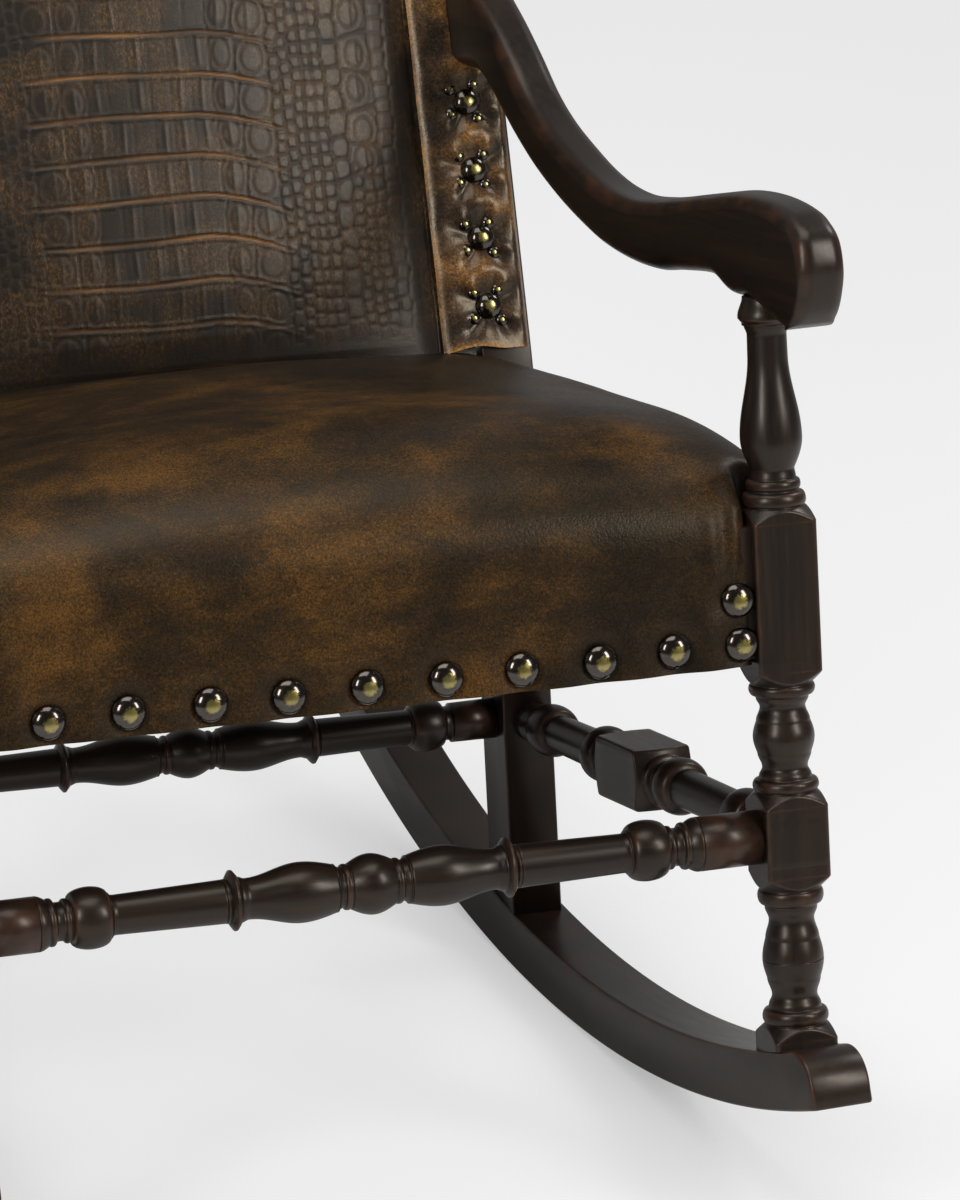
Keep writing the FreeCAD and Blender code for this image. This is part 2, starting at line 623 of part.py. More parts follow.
rail_in = half_square - size("rail_setback") - size("rail_thick")
rear_in = size("side_depth") + size("leg_depth") / 2 - size("rail_setback") - size("rail_thick")
leg_front = size("side_depth") - size("leg_depth") / 2
post_in = size("half_front") - half_square
leg_in = size("half_rear") - size("leg_width") / 2
brace = size("brace_leg")
front_corner = [(post_in, -rail_in), (post_in - brace, -rail_in), on_side_plane(rail_in, half_square + brace),
                on_side_plane(rail_in, half_square), (post_in, half_square)]
rear_corner = [(leg_in, rear_in), (leg_in, leg_front), on_side_plane(rail_in, leg_front),
               on_side_plane(rail_in, leg_front - brace), (leg_in - brace, rear_in)]


def screw_in(name, outside, corner):
    """A screw from the middle of a corner block's long face into the corner of its post, and its bore."""
    start = (Vector(*outside[0], 0) + Vector(*outside[1], 0)) / 2
    along = (Vector(*corner, 0) - start).normalize()
    start += along * size("screw_sink")
    place = spot(f"{start.x}", f"{start.y}", "rail_bottom + screw_head", (-along.y, along.x, 0), "90")
    solids = []
    for suffix, play in (("", "0"), ("Bore", "2 * fit")):
        head = peg(name + "Head" + suffix, f"screw_head + {play}", "screw_shank", place)
        shank = peg(name + "Shank" + suffix, f"screw_shank + {play}", "screw_length", place)
        solids.append(fuse(name + suffix, head, shank))
    return solids


front_screw, front_screw_bore = screw_in("FrontScrew", (front_corner[1], front_corner[2]), (post_in, half_square))
rear_screw, rear_screw_bore = screw_in("RearScrew", (rear_corner[3], rear_corner[4]), (leg_in, leg_front))
BRACE_FOOT = "rail_bottom + tenon_edge"
front_brace = cut("FrontBrace", plate("FrontBracePlate", front_corner, BRACE_FOOT, "brace_height"), front_screw_bore)
rear_brace = cut("RearBrace", plate("RearBracePlate", rear_corner, BRACE_FOOT, "brace_height"), rear_screw_bore)
pair("corner_blocks", group("CornerBlocks", front_brace, rear_brace))
pair("corner_block_screws", group("CornerScrews", front_screw, rear_screw))

# The posts with their sockets
pair("front_foot", front_foot())
top_tenon = peg("TopTenon", "post_tenon", "post_tenon_length + post_tenon", spot("half_front", "0", "arm_under - post_tenon"))
pair("front_post", cut("FrontPost", fuse("WholePost", front_post(), top_tenon), foot_bore, front_socket, side_sockets,
                       front_mortise, side_mortise, front_screw_bore))


# Rear posts: sawn square, plumb below the seat and raked above it
def in_back(depth, height):
    """The (y, z) of a point of the back, by its depth and its height along the rake."""
    rake = math.radians(size("rake"))
    return (leg_front + depth * math.cos(rake) + height * math.sin(rake),
            size("bend_level") - depth * math.sin(rake) + height * math.cos(rake))


def rear_post():
    rake = math.radians(size("rake"))
    leg_back = leg_front + size("leg_depth")
    depth, top = size("back_depth"), size("back_length")
    meet = in_back(depth, (size("leg_depth") - depth * math.cos(rake)) / math.sin(rake))
    bottom = -size("rocker_depth")
    outline = [(leg_front, bottom), (leg_back, bottom), meet, in_back(depth, top), in_back(0, top), in_back(0, 0)]
    body = doc.addObject("PartDesign::Body", "RearPostBlank")
    sketch = sketch_on(body, "RearPostOutline", "YZ_Plane")
    draw(sketch, [(y, z, 0) for y, z in outline])
    pad = padded(body, sketch, "RearPostPad", "leg_width", middle=True)
    doc.recompute()
    bends = [Vector(0, *meet), Vector(0, *in_back(0, 0))]
    ease = body.newObject("PartDesign::Fillet", "RearPostBend")
    names = [f"Edge{i}" for i, edge in enumerate(pad.Shape.Edges, 1)
             if any((edge.CenterOfMass - bend).Length < 1 for bend in bends)]
    ease.Base = (pad, names)
    ease.setExpression("Radius", bound("leg_depth"))
    body.setExpression("Placement", bound(spot("half_rear")))
    return body


# Back frame: a lower rail and an arched crest rail between the rear posts
BACK_TENON = "tenon_length - tenon_edge"
RAIL_MID = "back_rail_inset + (back_rail_thick - tenon_thick) / 2"
low_tenon, low_mortise = tenon_pair(
    "LowRail", (f"-{REAR_IN} - ({BACK_TENON})", RAIL_MID, "low_rail_at + tenon_thick / 2"),
    (f"2 * {REAR_IN} + 2 * ({BACK_TENON})", "tenon_thick", "low_rail_height - tenon_thick"), 0, ON_BACK)
low_plank = box("LowPlank", (f"-{REAR_IN}", "back_rail_inset", "low_rail_at"),
                (f"2 * {REAR_IN}", "back_rail_thick", "low_rail_height"), ON_BACK)
part("lower_back_rail", fuse("LowRail", low_plank, low_tenon))

arch_half = size("half_rear") + size("leg_width") / 2
arch_radius = (arch_half ** 2 + size("crest_rise") ** 2) / (2 * size("crest_rise"))


def arch(x):
    """Height of the back's arched top at a distance from its middle."""
    return size("back_length") + size("crest_rise") - arch_radius + math.sqrt(arch_radius ** 2 - x ** 2)


def arched(name, half, foot, lift, front, depth):
    """A flat piece of the back with an arched top, from a depth in the back."""
    body = doc.addObject("PartDesign::Body", name)
    sketch = sketch_on(body, name + "Outline", "XZ_Plane", f"-({front}) - ({depth}) / 2")
    end = arch(half) + lift
    draw(sketch, [(-half, foot, 0), (half, foot, 0), (half, end, 0), (-half, end, arch(0) - arch(half))])
    padded(body, sketch, name + "Pad", depth, middle=True)
    body.setExpression("Placement", "Back.Placement")
    return body


crest_foot = size("back_length") - size("crest_height")
crest_tenon, crest_mortise = tenon_pair(
    "CrestRail", (f"-{REAR_IN} - ({BACK_TENON})", RAIL_MID, "back_length - crest_height + tenon_thick / 2"),
    (f"2 * {REAR_IN} + 2 * ({BACK_TENON})", "tenon_thick", "crest_height - 2 * tenon_thick"), 0, ON_BACK)
crest_plank = arched("CrestPlank", leg_in, crest_foot, 0, "back_rail_inset", "back_rail_thick")
part("crest_rail", fuse("CrestRail", crest_plank, crest_tenon))


# Arms: shaped to a sweep with a turned-down knuckle, bolted through the rear posts
# Each station gives the top and the underside as shares of the side's run and of the arm's rise
ARM_STATIONS = (
    ((1.155, 1.425), (1.155, 0.738)), ((1.055, 1.247), (1.030, 0.719)), ((0.996, 1.144), (0.996, 0.716)),
    ((0.949, 1.061), (0.971, 0.714)), ((0.894, 0.950), (0.937, 0.688)), ((0.837, 0.814), (0.887, 0.589)),
    ((0.778, 0.661), (0.824, 0.456)), ((0.717, 0.549), (0.750, 0.325)), ((0.644, 0.455), (0.670, 0.217)),
    ((0.570, 0.375), (0.589, 0.131)), ((0.493, 0.321), (0.501, 0.059)), ((0.410, 0.299), (0.405, 0.019)),
    ((0.327, 0.313), (0.312, 0.011)), ((0.250, 0.341), (0.230, 0.036)), ((0.133, 0.392), (0.119, 0.054)),
    ((0.045, 0.427), (0.057, -0.002)), ((-0.024, 0.436), (0.000, -0.003)), ((-0.082, 0.428), (-0.045, -0.031)),
    ((-0.131, 0.406), (-0.064, -0.056)), ((-0.160, 0.377), (-0.076, -0.065)), ((-0.190, 0.312), (-0.089, -0.071)),
    ((-0.202, 0.198), (-0.100, -0.076)), ((-0.196, 0.099), (-0.110, -0.080)), ((-0.182, 0.006), (-0.119, -0.082)),
    ((-0.162, -0.057), (-0.127, -0.086)), ((-0.148, -0.077), (-0.135, -0.089)),
)
ARM_BOLT_AT = "((arm_under + arm_rise - bend_level) / cos(rake))"


def arm_section(top, under):
    """A slice across the arm with its four corners eased."""
    high = Vector(0, top[0] * side_run, size("arm_under") + top[1] * size("arm_rise"))
    low = Vector(0, under[0] * side_run, size("arm_under") + under[1] * size("arm_rise"))
    half, ease = size("arm_width") / 2, size("arm_round")
    down = (low - high) * min(0.3, ease / (low - high).Length)
    corner = ((half - ease, 0), (half - 0.3 * ease, 0.3), (half, 1))
    right = [high + down * drop + Vector(x, 0, 0) for x, drop in corner]
    right += [low - down * lift + Vector(x, 0, 0) for x, lift in corner[::-1]]
    return right + [Vector(-point.x, point.y, point.z) for point in right[::-1]]


def arm():
    form = skinned("ArmForm", [arm_section(top, under) for top, under in ARM_STATIONS])
    form.setExpression("Placement", "Side.Placement")
    return form


arm_socket = peg("ArmSocket", "post_tenon + 2 * fit", "post_tenon_length", spot("half_front", "0", "arm_under"))
collar_clear = box("CollarClear", ("half_front - arm_width", "-top_collar / 2", "arm_under - top_collar"),
                   ("2 * arm_width", "top_collar", "top_collar"))
behind_band = box("BehindBand", ("0", "-leather", "0"), ("2 * half_front", "side_depth", "back_length"), ON_BACK)


def bolt(name, play):
    """A bolt from a recess in the post's back into the arm."""
    head = peg(name + "Head", f"arm_bolt_head + {play}", "arm_bolt",
               spot("half_rear", "back_depth", ARM_BOLT_AT, ALONG, "90"), ON_BACK, 6)
    shank = peg(name + "Shank", f"arm_bolt + {play}", "2 * back_depth",
                spot("half_rear", "back_depth", ARM_BOLT_AT, ALONG, "90"), ON_BACK)
    return fuse(name, head, shank)


arm_bolt, bolt_bore = bolt("ArmBolt", "0"), bolt("BoltBore", "2 * fit")
pair("arm", cut("Arm", arm(), arm_socket, collar_clear, behind_band, bolt_bore))
pair("arm_bolt", group("ArmBolts", arm_bolt))
pair("rear_post", cut("RearPost", on_saddle("ScribedLeg", rear_post()), rear_bore, rear_socket, side_sockets, side_mortise,
                      rear_mortise, low_mortise, crest_mortise, bolt_bore, rear_screw_bore))


# Webbing: straps tacked over the seat rails and over the back rails
RAIL_TOP = "rail_bottom + rail_height"


def spread(count, first, last):
    """Evenly spread places from the first to the last."""
    return [first + (last - first) * i / (count - 1) for i in range(count)]


strap = size("strap_width")
seat_straps = []
for i, x in enumerate(spread(int(size("seat_straps_long")), -leg_in + 0.6 * strap, leg_in - 0.6 * strap)):
    seat_straps.append(box(f"LongStrap{i}", (f"{x} - strap_width / 2", f"-{SIDE_OUT} + tenon_edge", RAIL_TOP),
                           ("strap_width", f"{REAR_OUT} + {SIDE_OUT} - 2 * tenon_edge", "strap_thick")))
for i, y in enumerate(spread(int(size("seat_straps_cross")), half_square + strap, leg_front - strap)):
    half = on_side_plane(half_square - size("rail_setback") - size("tenon_edge"), y + strap / 2)[0]
    seat_straps.append(box(f"CrossStrap{i}", (f"-{half}", f"{y} - strap_width / 2", f"{RAIL_TOP} + strap_thick"),
                           (f"{2 * half}", "strap_width", "strap_thick")))
part("seat_webbing", group("SeatWebbing", *seat_straps))

back_straps = []
for i, x in enumerate(spread(int(size("back_straps")), -leg_in + 0.6 * strap, leg_in - 0.6 * strap)):
    back_straps.append(box(f"BackStrap{i}", (f"{x} - strap_width / 2", "back_rail_inset - strap_thick", "low_rail_at + tenon_edge"),
                           ("strap_width", "strap_thick", "back_length - low_rail_at - crest_height / 3"), ON_BACK))
part("back_webbing", group("BackWebbing", *back_straps))

# Seat: leather drawn over a crowned stuffing and down over the rails
post_clear = box("PostClear", ("half_front - post_square / 2 - soft_gap", "-post_square", "0"),
                 ("2 * post_square", "1.5 * post_square + soft_gap", "2 * seat_crown"))
leg_clear = box("LegClear", ("half_rear - leg_width / 2 - soft_gap", "side_depth - leg_depth / 2 - soft_gap", "0"),
                ("2 * leg_width", "2 * leg_depth", "2 * seat_crown"))


def left_of(name, piece):
    """The mirror image of a tool on the left side."""
    twin = doc.addObject("Part::Mirroring", name)
    twin.Source = piece
    twin.Normal = Vector(1, 0, 0)
    return twin


corner_clear = (post_clear, leg_clear, left_of("PostClearLeft", post_clear), left_of("LegClearLeft", leg_clear))
seat_skin = size("leather") + size("soft_gap")
front_face = half_square - size("rail_setback") + seat_skin
rear_face = size("side_depth") + size("leg_depth") / 2 - size("rail_setback") + seat_skin


def seat_section(y, inset, bottom):
    """A slice of the seat across the chair: straight sides, rounded shoulders and a low crown."""
    front = min(1, max(0, 1 - (y + front_face - inset) / size("seat_front_roll")))
    rear = min(1, max(0, 1 - (leg_front - y) / size("seat_rear_roll")))
    fall = 1 - math.sqrt(1 - front ** 2)
    crown = size("seat_crown") - (size("seat_crown") - size("seat_front_level")) * fall
    crown -= (size("seat_crown") - size("seat_rear_level")) * rear ** 2 + inset
    edge = size("seat_edge") - (size("seat_edge") - size("seat_front_level") + size("leather")) * fall - inset
    shoulder = min(size("seat_shoulder") - inset, edge - size("leather"))
    half, corner = on_side_plane(front_face - inset, y)[0], size("seat_corner")
    inner = half - corner
    turns = [math.radians(angle) for angle in (30, 60, 90)]
    right = [(half, bottom), (half, shoulder)]
    right += [(inner + corner * math.cos(turn), shoulder + (edge - shoulder) * math.sin(turn)) for turn in turns]
    right += [(share * inner, edge + (crown - edge) * (1 - share ** 2)) for share in (0.75, 0.5, 0.25)]
    return [Vector(x, y, z) for x, z in right + [(0, crown)] + [(-x, z) for x, z in right[::-1]]]


def seat_form(name, inset, bottom):
    """The whole seat at a depth below its outer face."""
    stops = [-front_face + inset, leg_front, rear_face - inset]
    stops += [-front_face + size("seat_front_roll") * share for share in (0.03, 0.1, 0.2, 0.35, 0.55, 0.75, 1)]
    stops += [leg_front - size("seat_rear_roll") * share for share in (1, 0.7, 0.4, 0.2)]
    return skinned(name, [seat_section(y, inset, bottom) for y in sorted(stops, reverse=True)])


seat_outer = seat_form("SeatOuter", 0, size("apron_bottom"))
seat_inner = seat_form("SeatInner", size("leather"), size("apron_bottom") - strap)
part("seat_cover", cut("SeatCover", seat_outer, seat_inner, *corner_clear))
below_foam = box("BelowFoam", ("-2 * half_front", "-side_depth", "0"),
                 ("4 * half_front", "3 * side_depth", f"{RAIL_TOP} + 2 * strap_thick"))
foam_form = seat_form("SeatFoamForm", seat_skin, size("rail_bottom"))
part("seat_foam", cut("SeatFoam", foam_form, below_foam, *corner_clear))

under = size("tenon_edge")
under_out = rail_in + size("rail_thick") / 2
dust_half = [(post_in - under, -half_square + size("rail_setback") + under), (post_in - under, half_square + under),
             on_side_plane(under_out, half_square + under), on_side_plane(under_out, leg_front - under),
             (leg_in - under, leg_front - under), (leg_in - under, rear_in + size("rail_thick") / 2)]
dust_outline = dust_half + [(-x, y) for x, y in dust_half[::-1]]
part("dust_cover", group("DustCover", plate("DustSheet", dust_outline, "rail_bottom - strap_thick", "strap_thick")))


# Back: an embossed leather panel over stuffing, leather bands on the posts and a plain outside back
def panel_section(height, crown, back, half):
    """A slice of the back panel: flat behind, crowned in front."""
    shares = [i / 5 for i in range(-5, 6)]
    front = [Vector(half * share, -crown * (1 - share ** 2), height) for share in shares]
    return front + [Vector(half, back, height), Vector(-half, back, height)]


def panel_form(name, back, shift, half, drop=0):
    """The stuffed panel, set back by a shift, its foot lowered by a drop."""
    foot, top = size("panel_foot") - drop, size("back_length") + size("crest_rise")
    stops = ((0, 0.40), (0.03, 0.64), (0.07, 0.82), (0.13, 0.94), (0.22, 1), (0.72, 1), (0.85, 0.89), (0.93, 0.70), (1, 0.35))
    rims = [panel_section(foot + (top - foot) * at, size("panel_crown") * full, back - shift, half) for at, full in stops]
    form = skinned(name, rims)
    form.setExpression("Placement", bound(ON_BACK + spot("0", f"{shift}", "0")))
    return form


skin = size("leather")
cover_half = leg_in - size("soft_gap")
panel_outer = panel_form("PanelOuter", skin, 0, size("panel_half"))
panel_inner = panel_form("PanelInner", skin + strap, skin + size("soft_gap"), size("panel_half") - skin, drop=skin)
margin = arched("PanelMargin", cover_half, size("panel_foot"), skin, "0", "leather")
trim_plate = arched("PanelTrim", cover_half, size("panel_foot"), skin, "-2 * panel_crown", "2 * panel_crown + leather")
top_wrap = arched("TopWrap", cover_half, size("back_length") - skin, skin, "0", "back_depth")
top_core = arched("TopCore", cover_half + skin, size("back_length") - 2 * skin, size("soft_gap"), "leather", "back_depth")
panel_face = both("PanelFace", panel_outer, trim_plate)
below_arch = arched("BelowArch", cover_half, size("panel_foot") - strap, 0, "-2 * panel_crown", "6 * panel_crown")
hollow = both("PanelHollow", panel_inner, below_arch)
back_skin = cut("BackSkin", fuse("BackWhole", panel_face, margin, top_wrap), hollow, top_core)
part("back_cover", group("BackCover", back_skin))

foam_back = size("back_rail_inset") - size("strap_thick")
back_form = panel_form("BackFoamForm", foam_back, skin + 2 * size("soft_gap"), size("panel_half") - 2 * skin)
back_trim = arched("BackFoamTrim", cover_half, size("panel_foot"), -size("soft_gap"), "-2 * panel_crown", "4 * panel_crown")
part("back_foam", group("BackFoam", both("BackFoamShape", back_form, back_trim)))
BAND_OUT = "(half_rear + leg_width / 2 - leather)"
band_face = box("BandFace", (f"{BAND_OUT} - band_width", "-leather", "band_foot"),
                ("band_width", "leather", "back_length - band_foot + leather"), ON_BACK)
band_top = box("BandTop", (f"{REAR_IN} + leather", "-leather", "back_length"),
               ("leg_width - 2 * leather", "back_depth + leather", "leather"), ON_BACK)
pair("back_band", cut("BackBand", fuse("BandWhole", band_face, band_top), bolt_bore))
outside = arched("OutsideSheet", arch_half - skin, size("low_rail_at"), 0, "back_depth", "leather")
part("outside_back", group("OutsideBack", outside))


# Nails: domed heads along the seat's lower edge and down the bands
def dome(centre, out, diameter):
    """A nail's domed head on a surface that faces out."""
    turn = FreeCAD.Rotation(Vector(0, 0, 1), out)
    rise = size("nail_rise") * diameter / size("nail")
    ways = [Vector(math.cos(math.radians(45 * i)), math.sin(math.radians(45 * i)), 0) * diameter / 2 for i in range(8)]
    crown = [way / 2 + Vector(0, 0, rise) for way in ways]
    sides = [flat([ways[i - 1], ways[i], crown[i], crown[i - 1]]) for i in range(8)]
    head = Part.makeSolid(Part.makeShell([flat(ways[::-1]), flat(crown)] + sides))
    return head.transformed(FreeCAD.Placement(centre, turn).toMatrix(), copy=True)


def nails(name, heads):
    """Nails that share one node."""
    return group(name, shaped(name + "Heads", Part.makeCompound(heads)))


level, corner = size("nail_level"), post_in - size("nail") / 2 - size("soft_gap")
row_count = int((corner - 0.6 * size("nail_pitch")) / size("nail_pitch"))
row = [size("nail_pitch") * i for i in range(-row_count, row_count + 1)] + [-corner, corner]
front_row = [(x, level) for x in row] + [(side * corner, level + size("corner_nail")) for side in (-1, 1)]
part("seat_front_nails", nails("SeatFrontNails", [
    dome(Vector(x, -front_face, z), Vector(0, -1, 0), size("nail")) for x, z in front_row]))

side_out = Vector(math.cos(side_turn), math.sin(side_turn), 0)
side_first, side_last = half_square + size("nail"), leg_front - size("nail")
side_count = int((side_last - side_first) / size("nail_pitch")) + 1
pair("seat_side_nails", nails("SeatSideNails", [
    dome(Vector(*on_side_plane(front_face, y), level), side_out, size("nail"))
    for y in spread(side_count, side_first, side_last)]))

rake_turn = doc.getObject("Back").Placement
band_rows = [size("band_nail_foot") + size("band_nail_pitch") * i
             for i in range(int((size("back_length") - size("band_nail_foot")) / size("band_nail_pitch")) + 1)]
arm_middle = (size("arm_under") + size("arm_rise") - size("bend_level")) / math.cos(math.radians(size("rake")))
arm_cover = (size("arm_joint") + size("band_nail")) / 2
pair("back_band_nails", nails("BandNails", [
    dome(rake_turn.multVec(Vector(size("half_rear") - size("nail") / 2, -skin, z)),
         rake_turn.Rotation.multVec(Vector(0, -1, 0)), size("band_nail"))
    for z in band_rows if abs(z - arm_middle) > arm_cover]))

# Check every piece, then write one file for each
doc.recompute()
for item in doc.Objects:
    if "Invalid" in item.State or "Error" in item.State:
        raise RuntimeError(f"{item.Name} did not build: {item.State}")
for piece in PARTS:
    if piece.Shape.isNull() or not piece.Shape.isValid() or not piece.Shape.Solids:
        raise RuntimeError(f"{piece.Label} is not a sound solid")
os.makedirs("parts", exist_ok=True)
for piece in PARTS:
    piece.Shape.exportStep(f"parts/{piece.Label}.step")
print(len(PARTS), "pieces written")
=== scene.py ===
"""A leather rocking chair: dark turned hardwood on two curved rockers, with a smooth leather seat and an embossed back."""
import math

import bmesh
import bpy
import numpy as np
from mathutils import Matrix, Vector, kdtree


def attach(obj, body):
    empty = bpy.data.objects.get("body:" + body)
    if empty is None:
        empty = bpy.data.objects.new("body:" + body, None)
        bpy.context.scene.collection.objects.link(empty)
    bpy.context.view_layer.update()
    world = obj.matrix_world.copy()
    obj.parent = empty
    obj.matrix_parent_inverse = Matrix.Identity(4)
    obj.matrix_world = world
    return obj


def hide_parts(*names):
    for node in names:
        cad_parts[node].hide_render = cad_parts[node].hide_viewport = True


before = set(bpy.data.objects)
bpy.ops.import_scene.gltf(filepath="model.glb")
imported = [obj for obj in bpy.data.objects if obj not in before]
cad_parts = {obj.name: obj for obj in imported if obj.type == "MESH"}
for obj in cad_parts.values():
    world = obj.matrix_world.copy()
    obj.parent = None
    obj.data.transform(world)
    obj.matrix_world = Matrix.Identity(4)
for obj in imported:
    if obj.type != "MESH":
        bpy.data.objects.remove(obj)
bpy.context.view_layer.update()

# Rockers: one bent hardwood plank under each side, its nose rounded over, its long edges eased by hand. The running edge is a
# single arc, on which the whole chair rocks. At rest it leans back, and each side frame slants in towards the back.
# Sizes are millimetres in the upright chair: z runs up the front posts, from where the feet stand on the rockers.
LEAN = math.radians(10.3)
HALF_FRONT, HALF_REAR, SIDE_DEPTH = 296.0, 254.0, 470.0
ROCK_RADIUS, ROCK_CENTRE, ROCKER_DEPTH, ROCKER_WIDTH = 1115.0, 211.0, 41.0, 44.0
SLANT = math.atan2(HALF_FRONT - HALF_REAR, SIDE_DEPTH)
SIDE_RUN = math.hypot(HALF_FRONT - HALF_REAR, SIDE_DEPTH)
ROLL = math.atan(math.cos(SLANT) * math.tan(LEAN))
ARC_HEIGHT = math.sqrt((ROCK_RADIUS - ROCKER_DEPTH) ** 2 - ROCK_CENTRE ** 2)
CONTACT_Y = (ROCK_CENTRE + ROCK_RADIUS * math.sin(ROLL)) * math.cos(SLANT)
CONTACT_Z = ARC_HEIGHT - ROCK_RADIUS * math.cos(ROLL)
ROCKER_NOSE, ROCKER_TAIL, NOSE_ROUND, TAIL_ROUND, EDGE_EASE = 72.0, 800.0, 27.0, 14.0, 2.2


def stand(points):
    """Points of the upright chair, in millimetres, where they are once it leans on the floor, in metres."""
    p = np.asarray(points, float)
    y, z = p[:, 1] - CONTACT_Y, p[:, 2] - CONTACT_Z
    turned = [p[:, 0], y * math.cos(LEAN) + z * math.sin(LEAN), -y * math.sin(LEAN) + z * math.cos(LEAN)]
    return np.column_stack(turned) / 1000


def on_side(points):
    """Points of the right side frame (out of its plane, along it, up) in the upright chair."""
    p = np.asarray(points, float)
    x = HALF_FRONT + p[:, 0] * math.cos(SLANT) - p[:, 1] * math.sin(SLANT)
    return np.column_stack([x, p[:, 0] * math.sin(SLANT) + p[:, 1] * math.cos(SLANT), p[:, 2]])


def at_arc(radius, angle):
    return np.array([ROCK_CENTRE + radius * math.sin(angle), ARC_HEIGHT - radius * math.cos(angle)])


def arc_run(radius, first, last, count):
    return [at_arc(radius, first + (last - first) * i / (count - 1)) for i in range(count)]


def corner_run(corner, start, end, count=9):
    """A rounded corner between two points on its sides."""
    turns = np.linspace(0, math.pi / 2, count)[1:-1]
    return [corner + (start - corner) * (1 - math.sin(t)) + (end - corner) * (1 - math.cos(t)) for t in turns]


def tube(rows, columns):
    """Quads of a tube of rows, each a closed ring of columns, with flat ends."""
    ring = np.arange(columns)
    quads = []
    for row in range(rows - 1):
        a = row * columns
        b = a + columns
        quads += np.column_stack([a + ring, a + (ring + 1) % columns, b + (ring + 1) % columns, b + ring]).tolist()
    return quads + [ring[::-1].tolist(), (ring + (rows - 1) * columns).tolist()]


def slab(outline, half, ease, steps=4):
    """A plank of an outline with eased edges: rings of (out of plane, a, b), and the closed faces over them."""
    outline = np.asarray(outline)
    before, after = np.roll(outline, 1, 0), np.roll(outline, -1, 0)
    run = after - before
    inward = np.column_stack([-run[:, 1], run[:, 0]]) / np.linalg.norm(run, axis=1)[:, None]
    rings, depth = [], []
    for side in (-1, 1):
        turns = np.linspace(0, math.pi / 2, steps + 1)
        for turn in turns if side < 0 else turns[::-1]:
            inset = ease * (1 - math.sin(turn))
            out_of = side * (half - ease * (1 - math.cos(turn)))
            flat = outline + inward * inset
            rings.append(np.column_stack([np.full(len(flat), out_of), flat]))
            depth.append(np.full(len(flat), 1 - inset / ease))
    return np.vstack(rings), tube(len(rings), len(outline)), np.concatenate(depth)


outer, inner = ROCK_RADIUS, ROCK_RADIUS - ROCKER_DEPTH
nose = math.asin((-ROCKER_NOSE - ROCK_CENTRE) / outer)
tail = math.asin((ROCKER_TAIL - ROCK_CENTRE) / outer)
sole_back, tail_low = at_arc(outer, tail - TAIL_ROUND / outer), at_arc(outer - TAIL_ROUND, tail)
tail_high, top_back = at_arc(inner + TAIL_ROUND, tail), at_arc(inner, tail - TAIL_ROUND / inner)
top_front, nose_high = at_arc(inner, nose + NOSE_ROUND / inner), at_arc(inner + NOSE_ROUND, nose)
rocker_outline = arc_run(outer, nose + 0.0015, tail - TAIL_ROUND / outer, 90)
rocker_outline += corner_run(at_arc(outer, tail), sole_back, tail_low) + [tail_low, tail_high]
rocker_outline += corner_run(at_arc(inner, tail), tail_high, top_back)
rocker_outline += arc_run(inner, tail - TAIL_ROUND / inner, nose + NOSE_ROUND / inner, 90)
rocker_outline += corner_run(at_arc(inner, nose), top_front, nose_high, 13) + [nose_high, at_arc(outer - 2, nose)]
rocker_points, rocker_faces, rocker_edge = slab(rocker_outline, ROCKER_WIDTH / 2, EDGE_EASE)
rocker_wear = np.where((rocker_edge > 0.05) & (rocker_edge < 0.98), 1.0, 0.15)
rocker_timber = rocker_points[:, [0, 2, 1]] / 1000


# The wood is stained to a near-black espresso and rubbed back to red-brown along its edges, under a satin lacquer.
# Each piece keeps its own timber coordinates, so that the grain runs along it.
def new_group(name, inputs, outputs):
    """An empty shader group with named sockets."""
    group = bpy.data.node_groups.new(name, "ShaderNodeTree")
    for label, kind, value in inputs:
        socket = group.interface.new_socket(label, in_out="INPUT", socket_type=kind)
        if value is not None:
            socket.default_value = value
    for label, kind in outputs:
        group.interface.new_socket(label, in_out="OUTPUT", socket_type=kind)
    return group, group.nodes.new("NodeGroupInput").outputs, group.nodes.new("NodeGroupOutput").inputs


def node(tree, kind, links=None, **settings):
    """A node with its settings, and its inputs linked or set."""
    made = tree.nodes.new(kind)
    for key, value in settings.items():
        setattr(made, key, value)
    for key, value in (links or {}).items():
        if isinstance(value, bpy.types.NodeSocket):
            tree.links.new(value, made.inputs[key])
        else:
            made.inputs[key].default_value = value
    return made


def ramp(tree, value, *stops):
    """A colour ramp through (place, colour) stops."""
    made = node(tree, "ShaderNodeValToRGB", {"Fac": value})
    elements = made.color_ramp.elements
    while len(elements) < len(stops):
        elements.new(0.5)
    for element, (place, colour) in zip(elements, stops):
        element.position = place
        element.color = (*colour, 1)
    return made.outputs["Color"]


def blend(tree, share, first, second, mode="MIX"):
    """Two colours mixed by a share."""
    return node(tree, "ShaderNodeMix", {0: share, 6: first, 7: second}, data_type="RGBA", blend_type=mode).outputs[2]


def maths(tree, operation, first, second):
    """One step of arithmetic."""
    return node(tree, "ShaderNodeMath", {0: first, 1: second}, operation=operation).outputs[0]


def noise(tree, place, scale, detail=4.0, roughness=0.55):
    """Soft noise at a place."""
    values = {"Vector": place, "Scale": scale, "Detail": detail, "Roughness": roughness}
    return node(tree, "ShaderNodeTexNoise", values).outputs[0]


def stretched(tree, place, scale):
    """A place with its axes scaled."""
    return node(tree, "ShaderNodeMapping", {"Vector": place, "Scale": scale}).outputs[0]


def finish_of(name, **plain):
    """A new material with its shader's plain values set."""
    material = bpy.data.materials.new(name)
    material.use_nodes = True
    shader = material.node_tree.nodes["Principled BSDF"]
    for key, value in plain.items():
        shader.inputs[key.replace("_", " ")].default_value = value
    return material, material.node_tree, shader.inputs


def scaled(tree, value, by, plus=0.0):
    """A value times one number, plus another."""
    return node(tree, "ShaderNodeMath", {0: value, 1: by, 2: plus}, operation="MULTIPLY_ADD").outputs[0]


